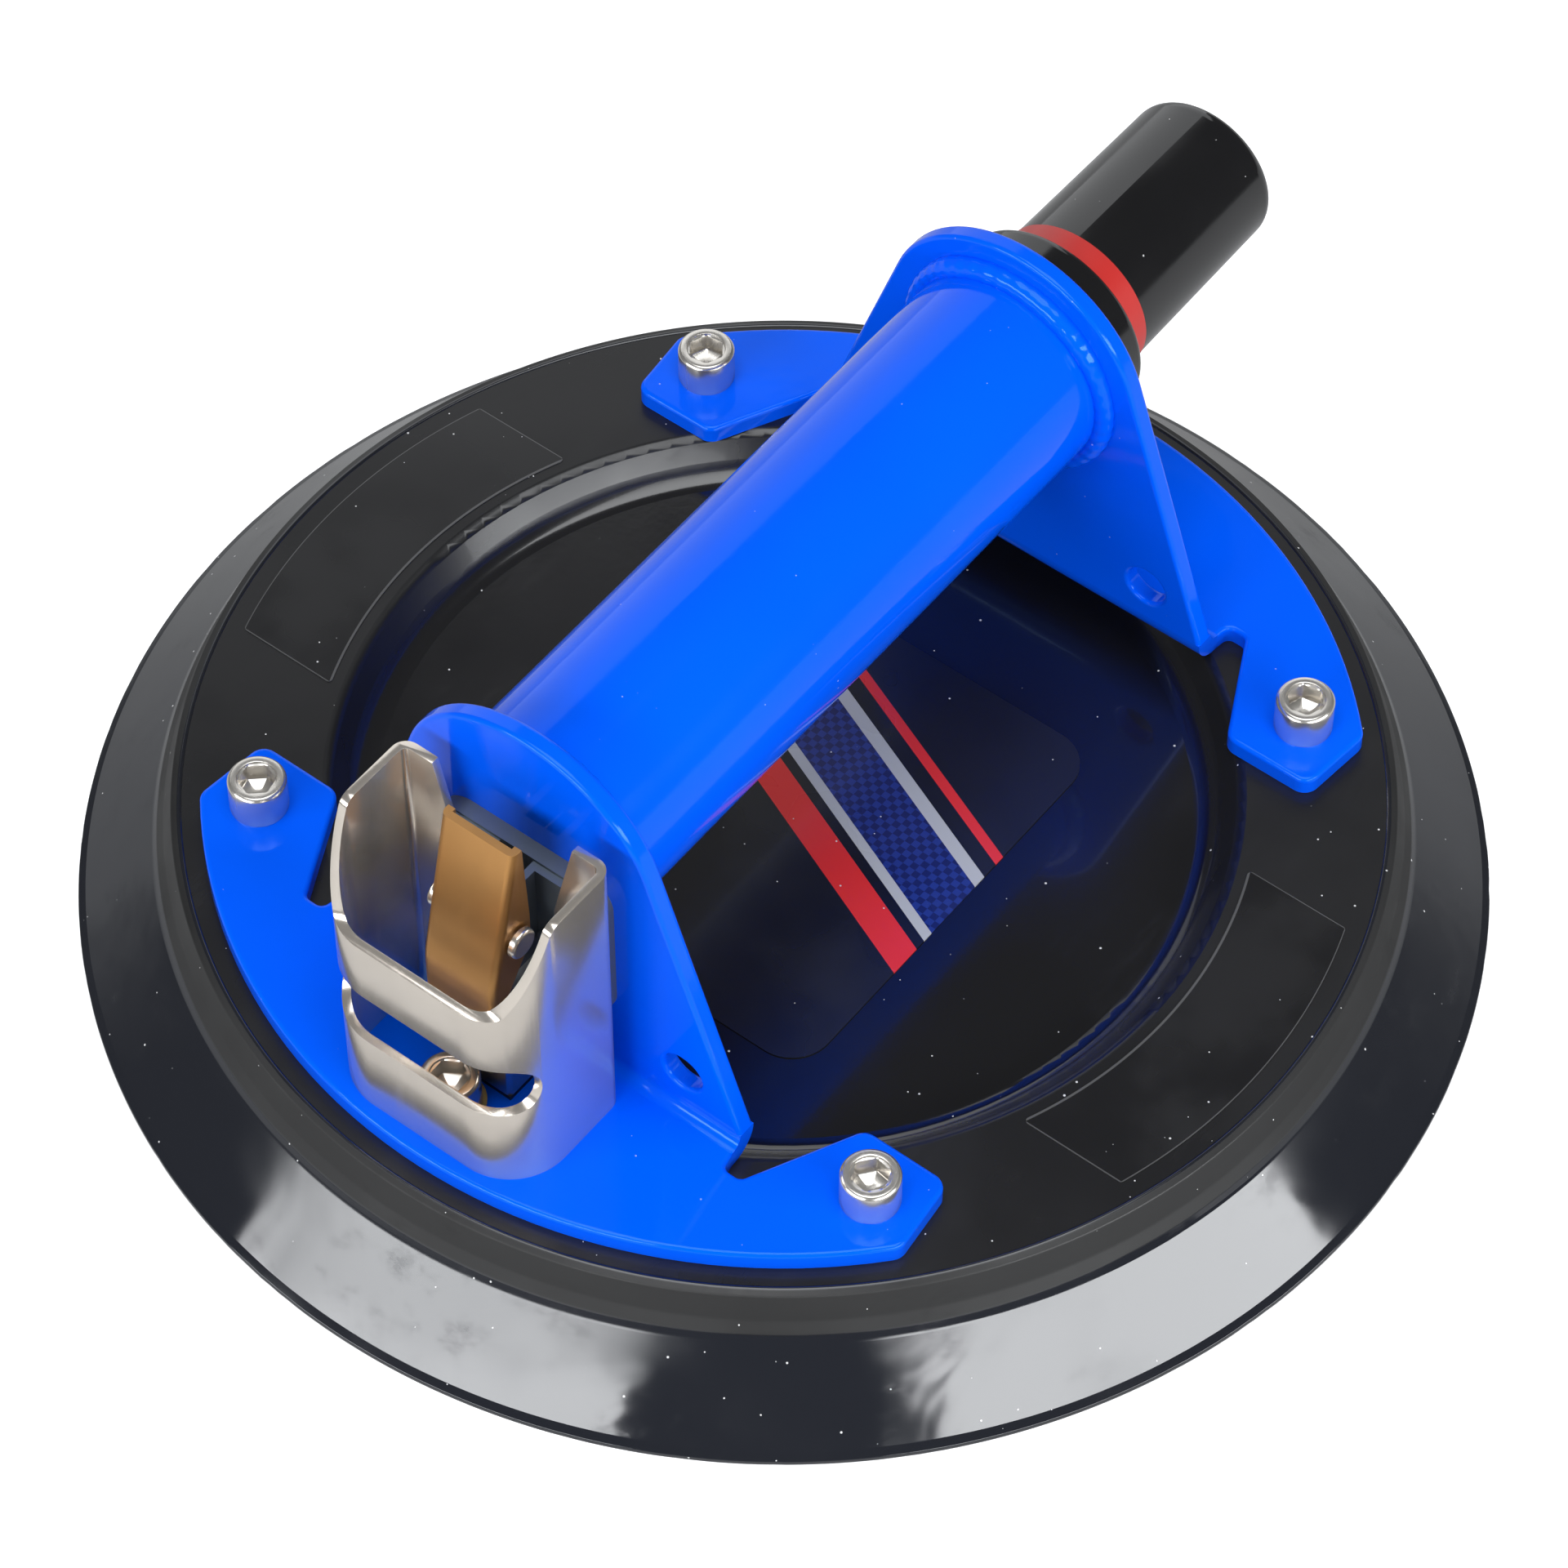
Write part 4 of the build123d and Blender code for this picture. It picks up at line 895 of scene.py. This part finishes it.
class LIFTER_OT_release_valve(LifterOperator, bpy.types.Operator):
    """Finish the release lever, its hinge and the vent"""

    bl_idname = "lifter.release_valve"
    bl_label = "Release valve"

    def make(self, colours, sizes):
        dress(["valve_base_plate", "hinge_cheek_left", "hinge_cheek_right", "hinge_rivets"], "zinc")
        dress(["release_lever"], "brass")
        dress(["lever_pin", "vent_block_screws"], "nickel")
        dress(["lever_spring"], "steel")
        dress(["vent_block"], "aluminium")
        dress(["valve_seal", "vent_gasket"], "seal")


class LIFTER_OT_guard(LifterOperator, bpy.types.Operator):
    """Round the guard's cut edges and finish it"""

    bl_idname = "lifter.guard"
    bl_label = "Guard"

    def make(self, colours, sizes):
        guard = add_object("lever_guard_sheet", nodes["lever_guard"].data.copy())
        shape = bmesh.new()
        shape.from_mesh(guard.data)
        bmesh.ops.remove_doubles(shape, verts=shape.verts, dist=0.001 * mm)
        flat, hard_from = math.radians(0.5), math.radians(40)
        bmesh.ops.dissolve_limit(shape, angle_limit=flat, verts=shape.verts, edges=shape.edges)
        hard = [e for e in shape.edges if e.is_manifold and e.calc_face_angle(0) > hard_from]
        bmesh.ops.bevel(
            shape,
            geom=hard,
            offset=sizes.guard_edge,
            segments=3,
            profile=0.5,
            affect="EDGES",
            clamp_overlap=True,
        )
        shape.to_mesh(guard.data)
        shape.free()
        guard.data.materials.clear()
        guard.data.materials.append(materials["stainless"])
        for face in guard.data.polygons:
            face.use_smooth = True
        tidy_mesh(guard)
        ride_as(guard, "base", "stainless", "lever_guard")


class LIFTER_OT_labels(LifterOperator, bpy.types.Operator):
    """Finish the films on the dish and the rim"""

    bl_idname = "lifter.labels"
    bl_label = "Films"

    def make(self, colours, sizes):
        dress(["center_label"], "label")
        dress(["rim_film_left", "rim_film_right"], "film")


def softbox(name, azimuth, elevation, distance, width, height, power):
    """An area lamp that looks at the lifter from a direction in degrees."""
    data = bpy.data.lights.new(name, "AREA")
    data.shape = "RECTANGLE"
    data.size = width
    data.size_y = height
    data.energy = power
    data.color = (0.96, 0.98, 1.0)
    lamp = add_object(name, data)
    a, e = math.radians(azimuth), math.radians(elevation)
    way = Vector((math.cos(a) * math.cos(e), math.sin(a) * math.cos(e), math.sin(e)))
    lamp.location = way * distance
    lamp.rotation_euler = way.to_track_quat("Z", "Y").to_euler()
    return lamp


class LIFTER_OT_stage(LifterOperator, bpy.types.Operator):
    """Set the floor, the lamps, the world and the camera"""

    bl_idname = "lifter.stage"
    bl_label = "Stage"

    def make(self, colours, sizes):
        scene = bpy.context.scene
        floor = add_object("floor", bpy.data.meshes.new("floor"))
        half, drop = 4.0, -0.1 * mm
        corners = [(-half, -half, drop), (half, -half, drop), (half, half, drop), (-half, half, drop)]
        floor.data.from_pydata(corners, [], [(0, 1, 2, 3)])
        made, tree, surface = new_material("floor_paint", roughness=0.75)
        path = place(tree, "ShaderNodeLightPath")
        paint = mix(tree, effect(tree, "patches", scale=3.0), tuple(colours.floor), screen(235, 235, 235))
        shade = mix(tree, path.outputs["Is Glossy Ray"], paint, screen(172, 172, 172))
        feed(tree, surface, "Base Color", shade)
        glow, mirrored_share = 0.42, 0.2
        mirrored = maths(tree, "MULTIPLY", path.outputs["Is Glossy Ray"], mirrored_share)
        direct = maths(tree, "MAXIMUM", path.outputs["Is Camera Ray"], mirrored)
        seen = maths(tree, "MULTIPLY", direct, glow)
        surface.inputs["Emission Color"].default_value = (1, 1, 1, 1)
        feed(tree, surface, "Emission Strength", seen)
        floor.data.materials.append(made)
        world = bpy.data.worlds.new("studio")
        scene.world = world
        world.use_nodes = True
        sky = world.node_tree
        sky.nodes.clear()
        light = place(sky, "ShaderNodeLightPath")
        dim, bright = 0.12, 1.0
        level = ramp(sky, light.outputs["Is Camera Ray"], 0.0, 1.0, dim, bright)
        shine = place(sky, "ShaderNodeBackground", {"Color": (1.0, 1.0, 1.0), "Strength": level})
        place(sky, "ShaderNodeOutputWorld", {"Surface": shine.outputs[0]})
        softbox("left_softbox", 170, 24, 1.3, 1.25, 0.32, 13)
        softbox("right_softbox", -97, 24, 1.3, 1.4, 0.32, 15)
        softbox("back_softbox", 44, 21, 1.3, 1.2, 1.3, 5)
        softbox("top_softbox", -142, 84, 1.5, 1.1, 1.1, 15)
        scene.view_settings.view_transform = "Standard"
        eye = Vector((-403.32, -312.66, 686.78)) * mm
        aim = Vector((0, 0, 17.57)) * mm
        data = bpy.data.cameras.new("camera")
        data.lens = 131.56
        data.sensor_width = 36
        camera = add_object("camera", data)
        camera.location = eye
        camera.rotation_euler = (aim - eye).to_track_quat("-Z", "Y").to_euler()
        scene.camera = camera


operators = (
    LIFTER_OT_finishes,
    LIFTER_OT_plate,
    LIFTER_OT_pad,
    LIFTER_OT_brackets,
    LIFTER_OT_screws,
    LIFTER_OT_pump,
    LIFTER_OT_release_valve,
    LIFTER_OT_guard,
    LIFTER_OT_labels,
    LIFTER_OT_stage,
)


class LIFTER_PT_sidebar(bpy.types.Panel):
    """Lists the lifter's steps, sizes and colours"""

    bl_idname = "LIFTER_PT_sidebar"
    bl_label = "Suction cup lifter"
    bl_space_type = "VIEW_3D"
    bl_region_type = "UI"
    bl_category = "Lifter"

    def draw(self, context):
        for group in (context.scene.lifter_colours, context.scene.lifter_sizes):
            for name in group.__annotations__:
                self.layout.prop(group, name)
        for step in operators:
            self.layout.operator(step.bl_idname)


classes = (LifterColours, LifterSizes, *operators, LIFTER_PT_sidebar)


def register():
    for item in classes:
        bpy.utils.register_class(item)
    bpy.types.Scene.lifter_colours = PointerProperty(type=LifterColours)
    bpy.types.Scene.lifter_sizes = PointerProperty(type=LifterSizes)


def unregister():
    del bpy.types.Scene.lifter_sizes
    del bpy.types.Scene.lifter_colours
    for item in reversed(classes):
        bpy.utils.unregister_class(item)


def main():
    """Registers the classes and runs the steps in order."""
    register()
    for step in operators:
        group, name = step.bl_idname.split(".")
        getattr(getattr(bpy.ops, group), name)()


if __name__ == "__main__":
    main()
